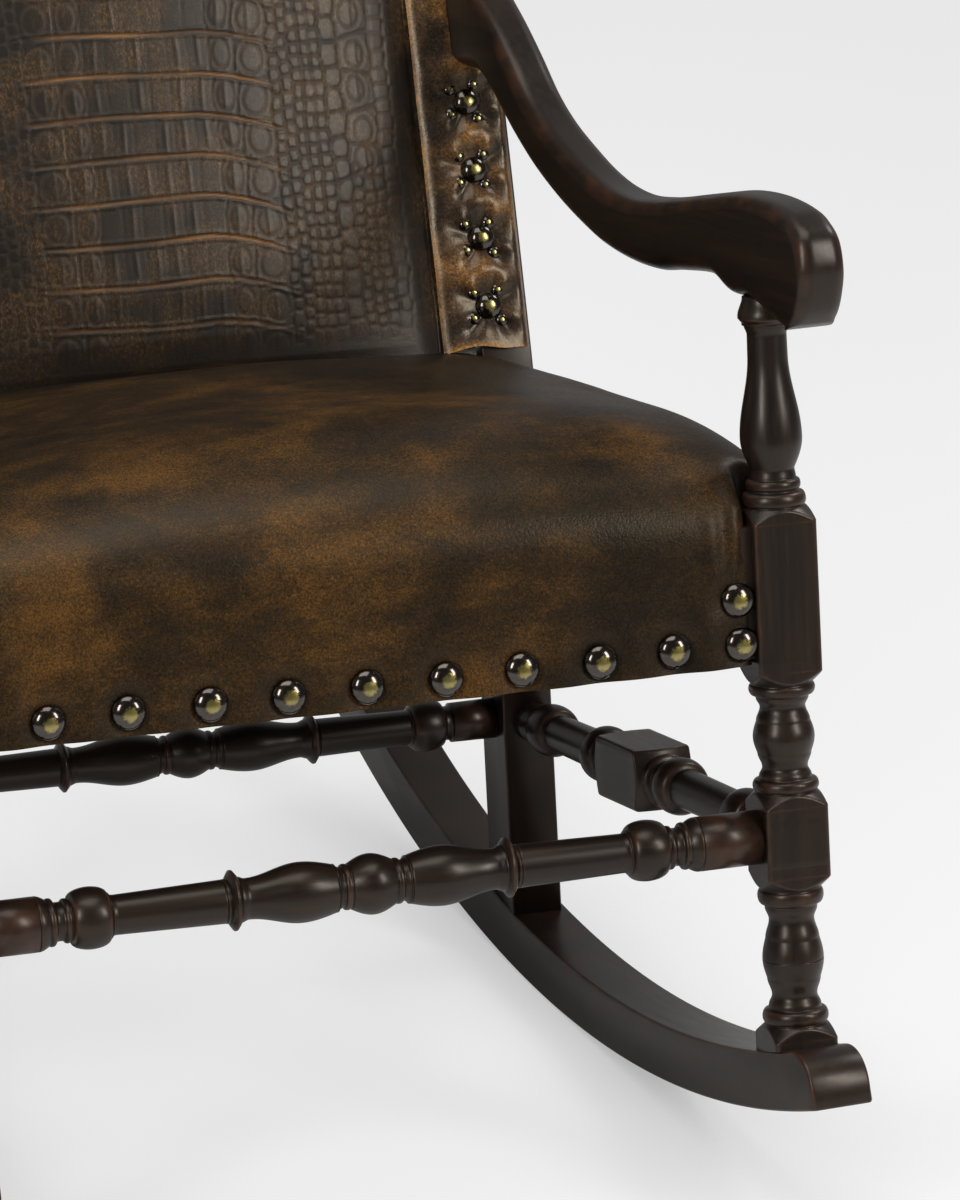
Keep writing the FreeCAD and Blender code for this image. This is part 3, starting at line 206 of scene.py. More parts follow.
def levels(tree, value, low, high, start=0.0, end=1.0, soft=False):
    """A value spread from one range over another."""
    ranges = {"Value": value, "From Min": low, "From Max": high, "To Min": start, "To Max": end}
    return node(tree, "ShaderNodeMapRange", ranges, interpolation_type="SMOOTHSTEP" if soft else "LINEAR").outputs[0]


def mark_of(tree, name, output="Fac"):
    """A point mark of the piece."""
    return node(tree, "ShaderNodeAttribute", attribute_name=name).outputs[output]


def place_of(tree):
    """The place in the chair."""
    return node(tree, "ShaderNodeTexCoord").outputs["Object"]


def dress(tree, shader, colour, roughness, height=None, strength=0.0):
    """A finish's colour, roughness and fine relief joined to its shader."""
    tree.links.new(colour, shader["Base Color"])
    tree.links.new(roughness, shader["Roughness"])
    if height:
        bump = node(tree, "ShaderNodeBump", {"Height": height, "Strength": strength, "Distance": 0.0006})
        tree.links.new(bump.outputs["Normal"], shader["Normal"])


FINISH_OUT = [("Color", "NodeSocketColor"), ("Roughness", "NodeSocketFloat"), ("Height", "NodeSocketFloat")]
timber, given, out = new_group("TimberGrain", [("Place", "NodeSocketVector", None), ("Wear", "NodeSocketFloat", 0.0)], FINISH_OUT)
along = stretched(timber, given["Place"], (1, 1, 0.05))
fibres = noise(timber, along, 260, 6, 0.6)
figure = noise(timber, along, 34, 3)
stain = ramp(timber, figure, (0.32, (0.0065, 0.0046, 0.0038)), (0.55, (0.0105, 0.0068, 0.0050)), (0.75, (0.0180, 0.0095, 0.0060)))
stained = blend(timber, levels(timber, fibres, 0.46, 1.085), stain, (0.026, 0.0125, 0.0075, 1))
patches = levels(timber, noise(timber, given["Place"], 45, 3), 0.36, 0.6725)
rubbed_back = scaled(timber, maths(timber, "MULTIPLY", given["Wear"], patches), 0.7)
timber.links.new(blend(timber, rubbed_back, stained, (0.070, 0.027, 0.0135, 1)), out["Color"])
timber.links.new(scaled(timber, fibres, 0.16, 0.26), out["Roughness"])
timber.links.new(fibres, out["Height"])


def wood_finish(name, own_timber):
    """The stained wood, read from a piece's own timber marks or from its place in the chair."""
    material, tree, shader = finish_of(name, Specular_IOR_Level=0.36, Specular_Tint=(1.0, 0.88, 0.76, 1),
                                       Coat_Weight=0.04, Coat_Roughness=0.2)
    place = mark_of(tree, "timber", "Vector") if own_timber else place_of(tree)
    grain = node(tree, "ShaderNodeGroup", {"Place": place}, node_tree=timber)
    if own_timber:
        tree.links.new(mark_of(tree, "wear"), grain.inputs["Wear"])
    dress(tree, shader, *grain.outputs, strength=0.1)
    return material


stained_wood = wood_finish("StainedWood", True)


def linked(name, data):
    """A new object of the scene."""
    obj = bpy.data.objects.new(name, data)
    bpy.context.collection.objects.link(obj)
    return obj


def keep_marks(mesh, marks):
    """Numbers or vectors kept as point attributes of a mesh."""
    for mark, values in marks.items():
        values = np.asarray(values, np.float32)
        kind, field = ("FLOAT", "value") if values.ndim == 1 else ("FLOAT_VECTOR", "vector")
        mesh.attributes.new(mark, kind, "POINT").data.foreach_set(field, values.ravel())


def piece(name, points, faces, material, slot, nodes, **marks):
    """A finished mesh in the chair's place, with its marks."""
    mesh = bpy.data.meshes.new(name)
    mesh.from_pydata(stand(points).tolist(), [], faces)
    keep_marks(mesh, marks)
    mesh.shade_smooth()
    mesh.materials.append(material)
    obj = linked(name, mesh)
    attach(obj, "root")
    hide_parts(*nodes)
    return obj


def both_sides(name, points, faces, material, slot, nodes, **marks):
    """A right-hand piece and its mirror image on the left."""
    turned_faces = [face[::-1] for face in faces]
    for side, mirror, outward in (("right_", [1, 1, 1], faces), ("left_", [-1, 1, 1], turned_faces)):
        piece(side + name, np.asarray(points) * mirror, outward, material, slot, [side + node for node in nodes], **marks)


both_sides("rocker_plank", on_side(rocker_points), rocker_faces, stained_wood, "wood", ["rocker"],
           timber=rocker_timber, wear=rocker_wear)


# Front feet and posts: square stock turned on a lathe between its blocks, so the blocks keep arched shoulders.
# The foot is a separate piece, doweled on at the fullest part of the lowest bulb, where a joint line shows.
HALF_SQUARE, SHOULDER_SLOPE, CORNER_EASE = 22.5, 0.912, 1.3


def within(value):
    """A share held between nothing and all."""
    return np.clip(value, 0, 1)


def turned_runs(start, *runs):
    """A turning's outline: (height, radius) points through runs of (kind, length, end radius, mid radius)."""
    heights, radii = [start[0]], [start[1]]
    for kind, length, end, *middle in runs:
        h0, r0 = heights[-1], radii[-1]
        t = np.linspace(0, 1, max(3, int(length / 0.8) + 2))[1:]
        if kind == "line":
            r = r0 + (end - r0) * t
        elif kind == "ease":
            r = r0 + (end - r0) * (1 - np.cos(math.pi * t)) / 2
        elif kind == "swell":
            r = r0 + (end - r0) * t + (middle[0] - (r0 + end) / 2) * np.sqrt(within(1 - (2 * t - 1) ** 2))
        elif kind == "full":
            r = r0 + (end - r0) * np.sin(t * math.pi / 2)
        elif kind == "fall":
            r = r0 + (end - r0) * (1 - np.cos(t * math.pi / 2))
        heights += (h0 + length * t).tolist()
        radii += r.tolist()
    return np.array(heights), np.array(radii)


def square_reach(turns, half, ease):
    """How far square stock with eased corners reaches in each direction."""
    c, s = np.abs(np.cos(turns)), np.abs(np.sin(turns))
    flat = half / np.maximum(c, s)
    return np.minimum(flat, half * math.sqrt(2) - ease * (1 - (np.maximum(c, s) - math.sqrt(0.5)) * 0.9))


def stock_turns(count):
    """Directions round square stock, closer together at its corners."""
    quarter = np.linspace(-1, 1, count // 4, endpoint=False)
    spaced = np.sign(quarter) * (1 - (1 - np.abs(quarter)) ** 1.35)
    return np.concatenate([math.pi / 2 * k + math.atan(1) * spaced for k in range(4)])


def on_lathe(runs, half=None, around=112):
    """Rings of a turning along its own z, and how worn each point is; square stock is kept where it is wider."""
    heights, radii = runs
    turns = stock_turns(around)
    grow = np.gradient(np.gradient(radii if half is None else np.minimum(radii, half * 1.4)))
    reach = np.repeat(radii[:, None], len(turns), 1)
    wear = np.repeat(within(-grow * 3.5)[:, None], len(turns), 1)
    if half is not None:
        stock = np.repeat(square_reach(turns, half, CORNER_EASE)[None], len(radii), 0)
        soft = 0.5
        low = np.minimum(reach, stock)
        near = within(1 - np.abs(reach - stock) / (2 * soft))
        corner = within((stock - half * 1.30) / (half * 0.08)) * (stock < reach)
        reach = low - soft * near ** 2 / 2
        wear = np.maximum(wear, np.maximum(near, corner))
    points = np.stack([reach * np.cos(turns), reach * np.sin(turns), np.repeat(heights[:, None], len(turns), 1)], 2)
    return points.reshape(-1, 3), tube(len(heights), len(turns)), wear.ravel()


RING, NECK, BULB = 21.6, 15.5, 21.0
CLEAR = 40.0
RISE = SHOULDER_SLOPE * (CLEAR - RING)


def spool_up(length):
    """From a block to the middle of a bulb: shoulder seat, ring, quirk, neck and half the bulb."""
    unit = length / 45.5
    return [("line", 1.2 * unit, 20.2), ("swell", 9.6 * unit, 19.6, RING + 1.0), ("line", 0.5 * unit, 18.2),
            ("line", 1.6 * unit, 18.0), ("ease", 7.6 * unit, NECK), ("ease", 12.0 * unit, 18.4), ("full", 13.0 * unit, BULB)]


def reversed_runs(start, runs):
    """The same runs taken from their other end, as heights and radii."""
    heights, radii = turned_runs((0, start), *runs)
    return heights[-1] - heights[::-1], radii[::-1]


def joined(*outlines):
    """Outlines one after another, each lifted to where the last one ends."""
    heights, radii = [np.zeros(0)], [np.zeros(0)]
    level = 0.0
    for h, r in outlines:
        heights.append(h - h[0] + level)
        radii.append(r)
        level = heights[-1][-1] + 1e-4
    return np.concatenate(heights), np.concatenate(radii)


def shoulder(up):
    """The cone that leaves a block's arched shoulder: out to clear the stock, or in from it."""
    t = np.linspace(0, 1, 36)
    radii = RING + (CLEAR - RING) * (t if up else 1 - t)
    return np.linspace(0, RISE, 36), radii


def whole_block(length):
    """The stretch of a block that the lathe leaves alone."""
    return np.linspace(0, length - 2 * RISE, 8), np.full(8, CLEAR)


def upright(points):
    return points + [HALF_FRONT, 0, 0]


spool = turned_runs((0, RING), *spool_up(45.5))
low_block, seat_block = 66.0, 120.0
FOOT_TOP, POST_FOOT = 63.4, 63.6
foot_runs = joined((np.array([0.0, 12.0]), np.full(2, CLEAR)), shoulder(False), spool)
foot_runs = (foot_runs[0] - foot_runs[0][-1] + FOOT_TOP, foot_runs[1])
baluster = turned_runs(
    (0, RING), ("line", 1.0, 20.0), ("swell", 9.5, 19.0, 21.8), ("line", 0.6, 17.4), ("line", 1.2, 17.4),
    ("swell", 6.5, 17.0, 18.6), ("line", 0.5, 15.8), ("ease", 6.7, NECK - 0.6), ("full", 21.0, BULB), ("ease", 56.0, 13.6),
    ("line", 14.0, 13.4), ("ease", 6.5, 15.2), ("line", 0.4, 16.6), ("line", 1.6, 16.6), ("line", 3.0, 19.1), ("line", 1.2, 19.1),
    ("ease", 13.3, 15.6))
lower_half = reversed_runs(RING, spool_up(50.5))
mid_half = turned_runs((0, RING), *spool_up(38.0))
mid_back = reversed_runs(RING, spool_up(38.0))
post_runs = joined(lower_half, shoulder(True), whole_block(low_block), shoulder(False), mid_half, mid_back,
                   shoulder(True), whole_block(seat_block), shoulder(False), baluster)
post_runs = (post_runs[0] + POST_FOOT, post_runs[1])

foot_points, foot_faces, foot_wear = on_lathe(foot_runs, HALF_SQUARE)
deep = ARC_HEIGHT - np.sqrt((ROCK_RADIUS - ROCKER_DEPTH) ** 2 - (foot_points[:, 1] - ROCK_CENTRE) ** 2) - 0.4
foot_points[:, 2] = np.where(foot_points[:, 2] < 6, np.maximum(foot_points[:, 2], deep), foot_points[:, 2])
both_sides("turned_foot", upright(foot_points), foot_faces, stained_wood, "wood", ["front_foot"],
           timber=foot_points / 1000, wear=foot_wear)
post_points, post_faces, post_wear = on_lathe(post_runs, HALF_SQUARE)
both_sides("turned_post", upright(post_points), post_faces, stained_wood, "wood", ["front_post"],
           timber=post_points / 1000, wear=post_wear)


# Stretchers: four turned bars tenoned into the posts at one level, the side ones with a square block left in the middle.
# Fine lines are cut with the skew on either side of each bead.
def quirk(radius, depth=0.9):
    """A fine line cut into the turning."""
    return [("line", 0.5, radius - depth), ("line", 0.5, radius)]


STRETCHER_LEVEL, FRONT_REACH, REAR_REACH = 150.0, 273.4, 234.9
front_half = turned_runs(
    (0, 20.6), ("fall", 15.0, 15.6), ("line", 0.6, 14.4), ("swell", 4.6, 14.4, 15.6), ("line", 0.5, 13.6),
    ("swell", 3.6, 15.0, 14.2), ("line", 0.6, 16.4), *quirk(16.4),
    ("full", 23.0, 20.4), ("ease", 37.0, 13.9), ("ease", 6.0, 15.6),
    ("line", 0.8, 17.4), ("line", 2.4, 20.4), ("line", 1.0, 20.4), ("line", 2.0, 17.4), ("line", 0.8, 15.8), *quirk(15.0),
    ("line", 1.6, 15.0), *quirk(14.8), ("line", 74.0, 13.4), ("ease", 3.0, 13.8), ("line", 0.6, 15.4), *quirk(15.6),
    ("swell", 26.0, 15.2, 20.8), ("line", 0.6, 14.0), ("swell", 4.0, 14.0, 15.0), ("line", 0.5, 13.4), ("swell", 5.6, 13.6, 13.0),
    ("line", 0.5, 15.0), ("swell", 4.0, 15.2, 16.2), ("line", 0.6, 15.8), ("full", 7.0, 18.6), *quirk(18.6))
front_half = (np.append(front_half[0], FRONT_REACH), np.append(front_half[1], 18.6))
rear_half = turned_runs(
    (0, 18.9), ("fall", 14.0, 14.4), ("line", 0.6, 13.4), ("swell", 4.4, 13.4, 14.5), ("line", 0.5, 12.8),
    ("swell", 3.6, 14.0, 13.2), ("line", 0.6, 15.2), *quirk(15.2),
    ("full", 23.0, 18.8), ("ease", 37.0, 13.0), ("ease", 6.0, 14.6),
    ("line", 0.8, 16.2), ("line", 2.4, 18.8), ("line", 1.0, 18.8), ("line", 2.0, 16.2), ("line", 0.8, 14.8), *quirk(14.0),
    ("line", 70.0, 12.8), ("line", 0.6, 14.4), *quirk(14.6), ("swell", 25.0, 14.0, 19.2), ("line", 0.6, 13.0),
    ("swell", 5.0, 13.0, 12.6), ("line", 0.5, 14.6))
rear_half = (np.append(rear_half[0], REAR_REACH), np.append(rear_half[1], 15.0))


def two_ended(half):
    """A turning that is the same from its middle outwards on both sides."""
    return np.concatenate([-half[0][:0:-1], half[0]]), np.concatenate([half[1][:0:-1], half[1]])


def crosswise(points, y):
    """A turning laid across the chair."""
    return np.column_stack([points[:, 2], points[:, 0] + y, STRETCHER_LEVEL - points[:, 1]])


for label, half, y in (("front_stretcher", front_half, 0.0), ("rear_stretcher", rear_half, SIDE_DEPTH)):
    bar_points, bar_faces, bar_wear = on_lathe(two_ended(half), around=72)
    piece("turned_" + label, crosswise(bar_points, y), bar_faces, stained_wood, "wood", [label],
          timber=bar_points / 1000, wear=bar_wear)

SIDE_BLOCK, SIDE_BLOCK_LENGTH, SIDE_BLOCK_AT = 44.0, 77.0, 241.0
SIDE_START, SIDE_END, SIDE_TUCK, END_LENGTH = 22.6, 444.8, 2.5, 58.0
FLARE_RUN, FLARE_FOOT, FLARE_TOP = 7.0, 17.0, 32.0


def side_run_out(length):
    """From the block to a post: ring, beads, shaft, bulb and plain end."""
    head = turned_runs(
        (0, 17.0), ("swell", 6.0, 16.4, 19.4), ("line", 0.5, 14.6), ("swell", 4.5, 14.4, 15.6), ("line", 0.5, 13.4),
        ("swell", 4.0, 14.6, 13.6), ("line", 0.5, 16.0), ("swell", 20.0, 15.4, 20.6), ("line", 0.6, 14.2), *quirk(14.4))
    left_over = length - head[0][-1] - END_LENGTH
    shaft = turned_runs((0, 14.4), ("line", left_over, 13.6))
    end = turned_runs(
        (0, 13.6), ("line", 0.5, 14.8), *quirk(14.8), ("swell", 27.0, 14.6, 19.3), ("line", 0.5, 13.6),
        ("swell", 5.0, 13.6, 14.8), ("ease", 10.0, 15.0), ("line", 13.5, 14.2))
    outline = joined(head, shaft, end)
    return outline[0] * length / outline[0][-1], outline[1]


forward = side_run_out(SIDE_BLOCK_AT - SIDE_BLOCK_LENGTH / 2 - SIDE_START + SIDE_TUCK)
backward = side_run_out(SIDE_END - SIDE_BLOCK_AT - SIDE_BLOCK_LENGTH / 2 + SIDE_TUCK)
cone = np.linspace(0, 1, 14)
flare = (FLARE_RUN * cone, FLARE_FOOT + (FLARE_TOP - FLARE_FOOT) * cone)
side_runs = joined((forward[0][-1] - forward[0][::-1], forward[1][::-1]), flare,
                   (np.linspace(0, SIDE_BLOCK_LENGTH - 2 * FLARE_RUN, 6), np.full(6, FLARE_TOP)),
                   (flare[0], flare[1][::-1]), backward)
side_runs = (side_runs[0] + SIDE_START - SIDE_TUCK, side_runs[1])
bar_points, bar_faces, bar_wear = on_lathe(side_runs, SIDE_BLOCK / 2, 96)
side_places = np.column_stack([bar_points[:, 0], bar_points[:, 2], STRETCHER_LEVEL - bar_points[:, 1]])
both_sides("turned_side_stretcher", on_side(side_places), bar_faces, stained_wood, "wood", ["side_stretcher"],
           timber=bar_points / 1000, wear=bar_wear)


# Rear posts: sawn square, plumb below the seat and raked above it, the bend eased to a long curve.
# They stand scribed on the rockers and carry the back frame.
LEG_WIDTH, LEG_DEPTH, BACK_DEPTH, BACK_LENGTH = 38.0, 54.0, 40.0, 655.0
LEG_FRONT, BEND_LEVEL, RAKE, SCRIBE = 443.0, 395.0, math.radians(11.5), 0.3


def on_back(points):
    """Points of the raked back (across, behind the posts' front, up the rake) in the upright chair."""
    p = np.asarray(points, float)
    y = LEG_FRONT + p[:, 1] * math.cos(RAKE) + p[:, 2] * math.sin(RAKE)
    return np.column_stack([p[:, 0], y, BEND_LEVEL - p[:, 1] * math.sin(RAKE) + p[:, 2] * math.cos(RAKE)])


def in_back(depth, height):
    return on_back([[0, depth, height]])[0, 1:]


def bend(first, corner, last, reach=34.0, count=12):
    """A corner of an outline eased to a curve."""
    start = corner + (first - corner) / np.linalg.norm(first - corner) * reach
    end = corner + (last - corner) / np.linalg.norm(last - corner) * reach
    t = np.linspace(0, 1, count)[:, None]
    return list((1 - t) ** 2 * start + 2 * t * (1 - t) * corner + t ** 2 * end)


leg_back = LEG_FRONT + LEG_DEPTH
meet = in_back(BACK_DEPTH, (LEG_DEPTH - BACK_DEPTH * math.cos(RAKE)) / math.sin(RAKE))


def rocker_top(y):
    return ARC_HEIGHT - math.sqrt((ROCK_RADIUS - ROCKER_DEPTH) ** 2 - (y / math.cos(SLANT) - ROCK_CENTRE) ** 2)


foot_front = np.array([LEG_FRONT, rocker_top(LEG_FRONT) - SCRIBE])
foot_back = np.array([leg_back, rocker_top(leg_back) - SCRIBE])
post_outline = [foot_front, np.array([SIDE_DEPTH, rocker_top(SIDE_DEPTH) - SCRIBE]), foot_back]
post_outline += bend(foot_back, meet, in_back(BACK_DEPTH, BACK_LENGTH))
post_outline += [in_back(BACK_DEPTH, BACK_LENGTH), in_back(0, BACK_LENGTH)]
post_outline += bend(in_back(0, BACK_LENGTH), in_back(0, 0), foot_front)
post_slab, post_slab_faces, post_edge = slab(post_outline, LEG_WIDTH / 2, 1.6)
leg_wear = np.where((post_edge > 0.05) & (post_edge < 0.98), 0.8, 0.1)
both_sides("sawn_rear_post", post_slab + [HALF_REAR, 0, 0], post_slab_faces, stained_wood, "wood", ["rear_post"],
           timber=post_slab / 1000, wear=leg_wear)


# Inner frame: seat rails, back rails, corner blocks, dowels, screws and bolts, out of sight once the leather is on.
# They keep their plain sawn and machined shapes.
steel, tree, shader = finish_of("ZincSteel", Metallic=1.0)
place = place_of(tree)
dress(tree, shader, ramp(tree, noise(tree, place, 300), (0.3, (0.30, 0.30, 0.31)), (0.7, (0.48, 0.48, 0.49))),
      scaled(tree, noise(tree, place, 700), 0.25, 0.25))
plain_wood = wood_finish("PlainWood", False)
for name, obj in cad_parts.items():
    if any(word in name for word in ("rail", "block", "dowel", "bolt", "screw")):
        obj.data.materials.clear()
        obj.data.materials.append(steel if "bolt" in name or "screw" in name else plain_wood)


# Arms: bandsawn from thick hardwood to a sweep, rounded over and turned down into a knuckle in front.
# Each is seated on its front post's tenon and bolted through the rear post.
ARM_UNDER, ARM_RISE, ARM_HALF, ARM_ROUND = 519.0, 160.0, 17.0, 11.0
ARM_TOP = ((1.074, 1.281), (0.996, 1.144), (0.949, 1.061), (0.894, 0.950), (0.837, 0.814), (0.778, 0.661), (0.717, 0.549),
           (0.644, 0.455), (0.570, 0.375), (0.493, 0.321), (0.410, 0.299), (0.327, 0.313), (0.250, 0.341), (0.133, 0.392),
           (0.045, 0.427), (-0.024, 0.436), (-0.082, 0.428), (-0.131, 0.406), (-0.160, 0.377), (-0.190, 0.312),
           (-0.202, 0.198), (-0.196, 0.099), (-0.182, 0.006), (-0.162, -0.057), (-0.148, -0.077))
ARM_LOW = ((1.038, 0.720), (0.996, 0.716), (0.971, 0.714), (0.937, 0.688), (0.887, 0.589), (0.824, 0.456), (0.750, 0.325),
           (0.670, 0.217), (0.589, 0.131), (0.501, 0.059), (0.405, 0.019), (0.312, 0.011), (0.230, 0.036), (0.119, 0.054),
           (0.057, -0.002), (0.000, -0.003), (-0.045, -0.031), (-0.064, -0.056), (-0.076, -0.065), (-0.089, -0.071),
           (-0.100, -0.076), (-0.110, -0.080), (-0.119, -0.082), (-0.127, -0.086), (-0.135, -0.089))


def smooth_line(points, count):
    """A smooth line through points."""
    p = np.asarray(points, float)
    p = np.vstack([2 * p[0] - p[1], p, 2 * p[-1] - p[-2]])
    spans = np.linspace(0, len(p) - 3, count)
    i = np.minimum(spans.astype(int), len(p) - 4)
    t = (spans - i)[:, None]
    a, b, c, d = p[i], p[i + 1], p[i + 2], p[i + 3]
    return 0.5 * (2 * b + (c - a) * t + (2 * a - 5 * b + 4 * c - d) * t ** 2 + (3 * b - a - 3 * c + d) * t ** 3)


ARM_ROWS, ARM_COLUMNS = 200, 48
scale = np.array([SIDE_RUN, ARM_RISE])
arm_top = smooth_line(ARM_TOP, ARM_ROWS) * scale + [0, ARM_UNDER]
arm_low = smooth_line(ARM_LOW, ARM_ROWS) * scale + [0, ARM_UNDER]


def rounded_slice(half_across, half_down, ease, count):
    """A rounded rectangle as (across, down) points."""
    quarter = count // 4
    t = np.linspace(0, math.pi / 2, quarter)
    corner = np.column_stack([half_across - ease + ease * np.cos(t), half_down - ease + ease * np.sin(t)])
    return np.vstack([corner, corner[::-1] * [-1, 1], corner * [-1, -1], corner[::-1] * [1, -1]])


arm_points, arm_wear = [], []
for high, low in zip(arm_top, arm_low):
    down = low - high
    length = np.linalg.norm(down)
    ease = min(ARM_ROUND, 0.46 * length)
    ring = rounded_slice(ARM_HALF, length / 2, ease, ARM_COLUMNS)
    middle = (high + low) / 2
    flat = middle + ring[:, 1:] * (down / length)
    arm_points.append(np.column_stack([ring[:, 0], flat]))
    arm_wear.append(within(1.6 - np.abs(np.abs(ring[:, 0]) - ARM_HALF + 3) / 3) * (np.abs(ring[:, 1]) > length / 2 - ease))
arm_points = np.vstack(arm_points)
arm_timber = arm_points[:, [0, 2, 1]] / 1000
both_sides("swept_arm", on_side(arm_points), tube(ARM_ROWS, ARM_COLUMNS), stained_wood, "wood", ["arm"],
           timber=arm_timber, wear=np.concatenate(arm_wear) * 0.7)


# Seat leather: one smooth brown hide, antiqued by hand, drawn over the stuffing and down over the rails, nailed along its edge.
# It swells against the posts and is pleated where it turns the front corners.
HIDE_TONES = ("Smoke", "Brown", "Amber")
hide, given, out = new_group(
    "AntiquedHide",
    [("Place", "NodeSocketVector", None), *((tone, "NodeSocketColor", None) for tone in HIDE_TONES),
     ("Patch", "NodeSocketFloat", 7.0), ("Lift", "NodeSocketFloat", 0.0)], FINISH_OUT)
place = given["Place"]
clouds = node(hide, "ShaderNodeTexNoise",
              {"Vector": place, "Scale": given["Patch"], "Detail": 3.0, "Roughness": 0.55, "Distortion": 0.5}).outputs[0]
smudges = noise(hide, stretched(hide, place, (0.6, 1, 1.3)), 34, 5, 0.62)
grit = noise(hide, place, 480, 3, 0.75)
tone = given["Lift"]
for part, weight in ((clouds, 0.75), (smudges, 0.6), (grit, 0.55)):
    tone = scaled(hide, maths(hide, "SUBTRACT", part, 0.5), weight, tone)
tone = maths(hide, "ADD", tone, 0.5)
low_tone, high_tone = levels(hide, tone, 0.30, 0.56, soft=True), levels(hide, tone, 0.47, 0.84, soft=True)
toned = blend(hide, high_tone, blend(hide, low_tone, given["Smoke"], given["Brown"]), given["Amber"])
pepper = levels(hide, noise(hide, place, 760, 2, 0.6), 0.3, 0.7, 0.35, 1.65)
hide.links.new(blend(hide, 1.0, toned, pepper, "MULTIPLY"), out["Color"])
pebbles = node(hide, "ShaderNodeTexVoronoi", {"Vector": place, "Scale": 620.0}, feature="SMOOTH_F1").outputs["Distance"]
creases = noise(hide, place, 240, 4, 0.7)
hide.links.new(scaled(hide, pebbles, -0.6, creases), out["Height"])
hide.links.new(scaled(hide, creases, 0.22, scaled(hide, clouds, 0.2)), out["Roughness"])


def hide_finish(name, tones, patch, strength, lift=None, gloss=0.26, dull=0.19):
    """Antiqued leather from three tones; a point mark may lift the tone where it is rubbed and lower it as painted
    shade.
    """
    material, tree, shader = finish_of(name, Specular_IOR_Level=gloss, Specular_Tint=(1.0, 0.82, 0.60, 1))
    colours = {label: (*colour, 1) for label, colour in zip(HIDE_TONES, tones)}
    antiqued = node(tree, "ShaderNodeGroup", {"Place": place_of(tree), "Patch": patch, **colours}, node_tree=hide)
    if lift:
        tree.links.new(mark_of(tree, lift), antiqued.inputs["Lift"])
    colour, roughness, height = antiqued.outputs
    dress(tree, shader, colour, maths(tree, "ADD", roughness, dull), height, strength)
    return material


seat_hide = hide_finish("SmoothHide", ((0.0080, 0.0054, 0.0034), (0.0225, 0.0115, 0.0038), (0.094, 0.041, 0.0078)),
                        9.0, 0.35, "rubbed")
APRON_BOTTOM, FRONT_FACE, REAR_FACE = 272.0, 17.8, 492.3
SEAT_SHOULDER, SEAT_EDGE, SEAT_CROWN, SEAT_CORNER = 378.0, 430.0, 451.0, 54.0
FRONT_ROLL, REAR_ROLL, REAR_LEVEL, FRONT_LEVEL = 150.0, 150.0, 436.0, 352.0


def side_reach(out_of, y):
    """How far out a side frame reaches, at a distance behind the front posts."""
    s = (y - out_of * math.sin(SLANT)) / math.cos(SLANT)
    return HALF_FRONT + out_of * math.cos(SLANT) - s * math.sin(SLANT)


def seat_slice(y, bottom):
    """A slice of the seat across the chair, as a closed ring."""
    front = min(1, max(0, 1 - (y + FRONT_FACE) / FRONT_ROLL))
    rear = min(1, max(0, 1 - (LEG_FRONT - y) / REAR_ROLL))
    fall = 1 - (1 - front ** 2.2) ** (1 / 2.2)
    crown = SEAT_CROWN - (SEAT_CROWN - FRONT_LEVEL) * fall - (SEAT_CROWN - REAR_LEVEL) * rear ** 2
    edge = SEAT_EDGE - (SEAT_EDGE - FRONT_LEVEL + 1) * fall - 3 * rear ** 2
    shoulder = min(SEAT_SHOULDER, edge - 2)
    half = side_reach(FRONT_FACE, y)
    inner_half = half - SEAT_CORNER
    t = np.radians(np.linspace(0, 90, 8))
    sides = np.column_stack([np.full(12, half), np.linspace(bottom, shoulder, 12)])
    turn = np.column_stack([inner_half + SEAT_CORNER * np.cos(t), shoulder + (edge - shoulder) * np.sin(t)])[1:]
    share = np.linspace(1, 0, 24)[1:]
    top = np.column_stack([share * inner_half, edge + (crown - edge) * (1 - share ** 2.2)])
    right = np.vstack([sides, turn, top])
    ring = np.vstack([right, right[-2::-1] * [-1, 1]])
    return np.column_stack([ring[:, 0], np.full(len(ring), y), ring[:, 1]])


def mesh_object(name, points, faces):
    """A scratch mesh in the upright chair's own frame."""
    mesh = bpy.data.meshes.new(name)
    mesh.from_pydata(np.asarray(points).tolist(), [], faces)
    return linked(name, mesh)


def applied(obj):
    """The object's mesh with its modifiers worked in, as points and faces; the scratch object is removed."""
    depsgraph = bpy.context.evaluated_depsgraph_get()
    mesh = bpy.data.meshes.new_from_object(obj.evaluated_get(depsgraph))
    points = np.empty(len(mesh.vertices) * 3)
    mesh.vertices.foreach_get("co", points)
    faces = [list(p.vertices) for p in mesh.polygons]
    bpy.data.objects.remove(obj)
    bpy.data.meshes.remove(mesh)
    return points.reshape(-1, 3), faces


seat_stops = np.concatenate([FRONT_ROLL * np.linspace(0, 1, 40) ** 2 - FRONT_FACE,
                             np.linspace(FRONT_ROLL + 10, LEG_FRONT - REAR_ROLL, 8),
                             np.linspace(LEG_FRONT - REAR_ROLL + 8, REAR_FACE, 18)])
seat_rings = [seat_slice(y, APRON_BOTTOM - 30) for y in seat_stops[::-1]]
seat_form = mesh_object("seat_form", np.vstack(seat_rings), tube(len(seat_rings), len(seat_rings[0])))


def clearing(name, low, high):
    """A box that clears a post out of a soft form."""
    plan = ((low[0], low[1]), (high[0], low[1]), (high[0], high[1]), (low[0], high[1]))
    corners = [(x, y, z) for z in (low[2], high[2]) for x, y in plan]
    faces = [(3, 2, 1, 0), (4, 5, 6, 7), (0, 1, 5, 4), (1, 2, 6, 5), (2, 3, 7, 6), (3, 0, 4, 7)]
    return mesh_object(name, corners, faces)


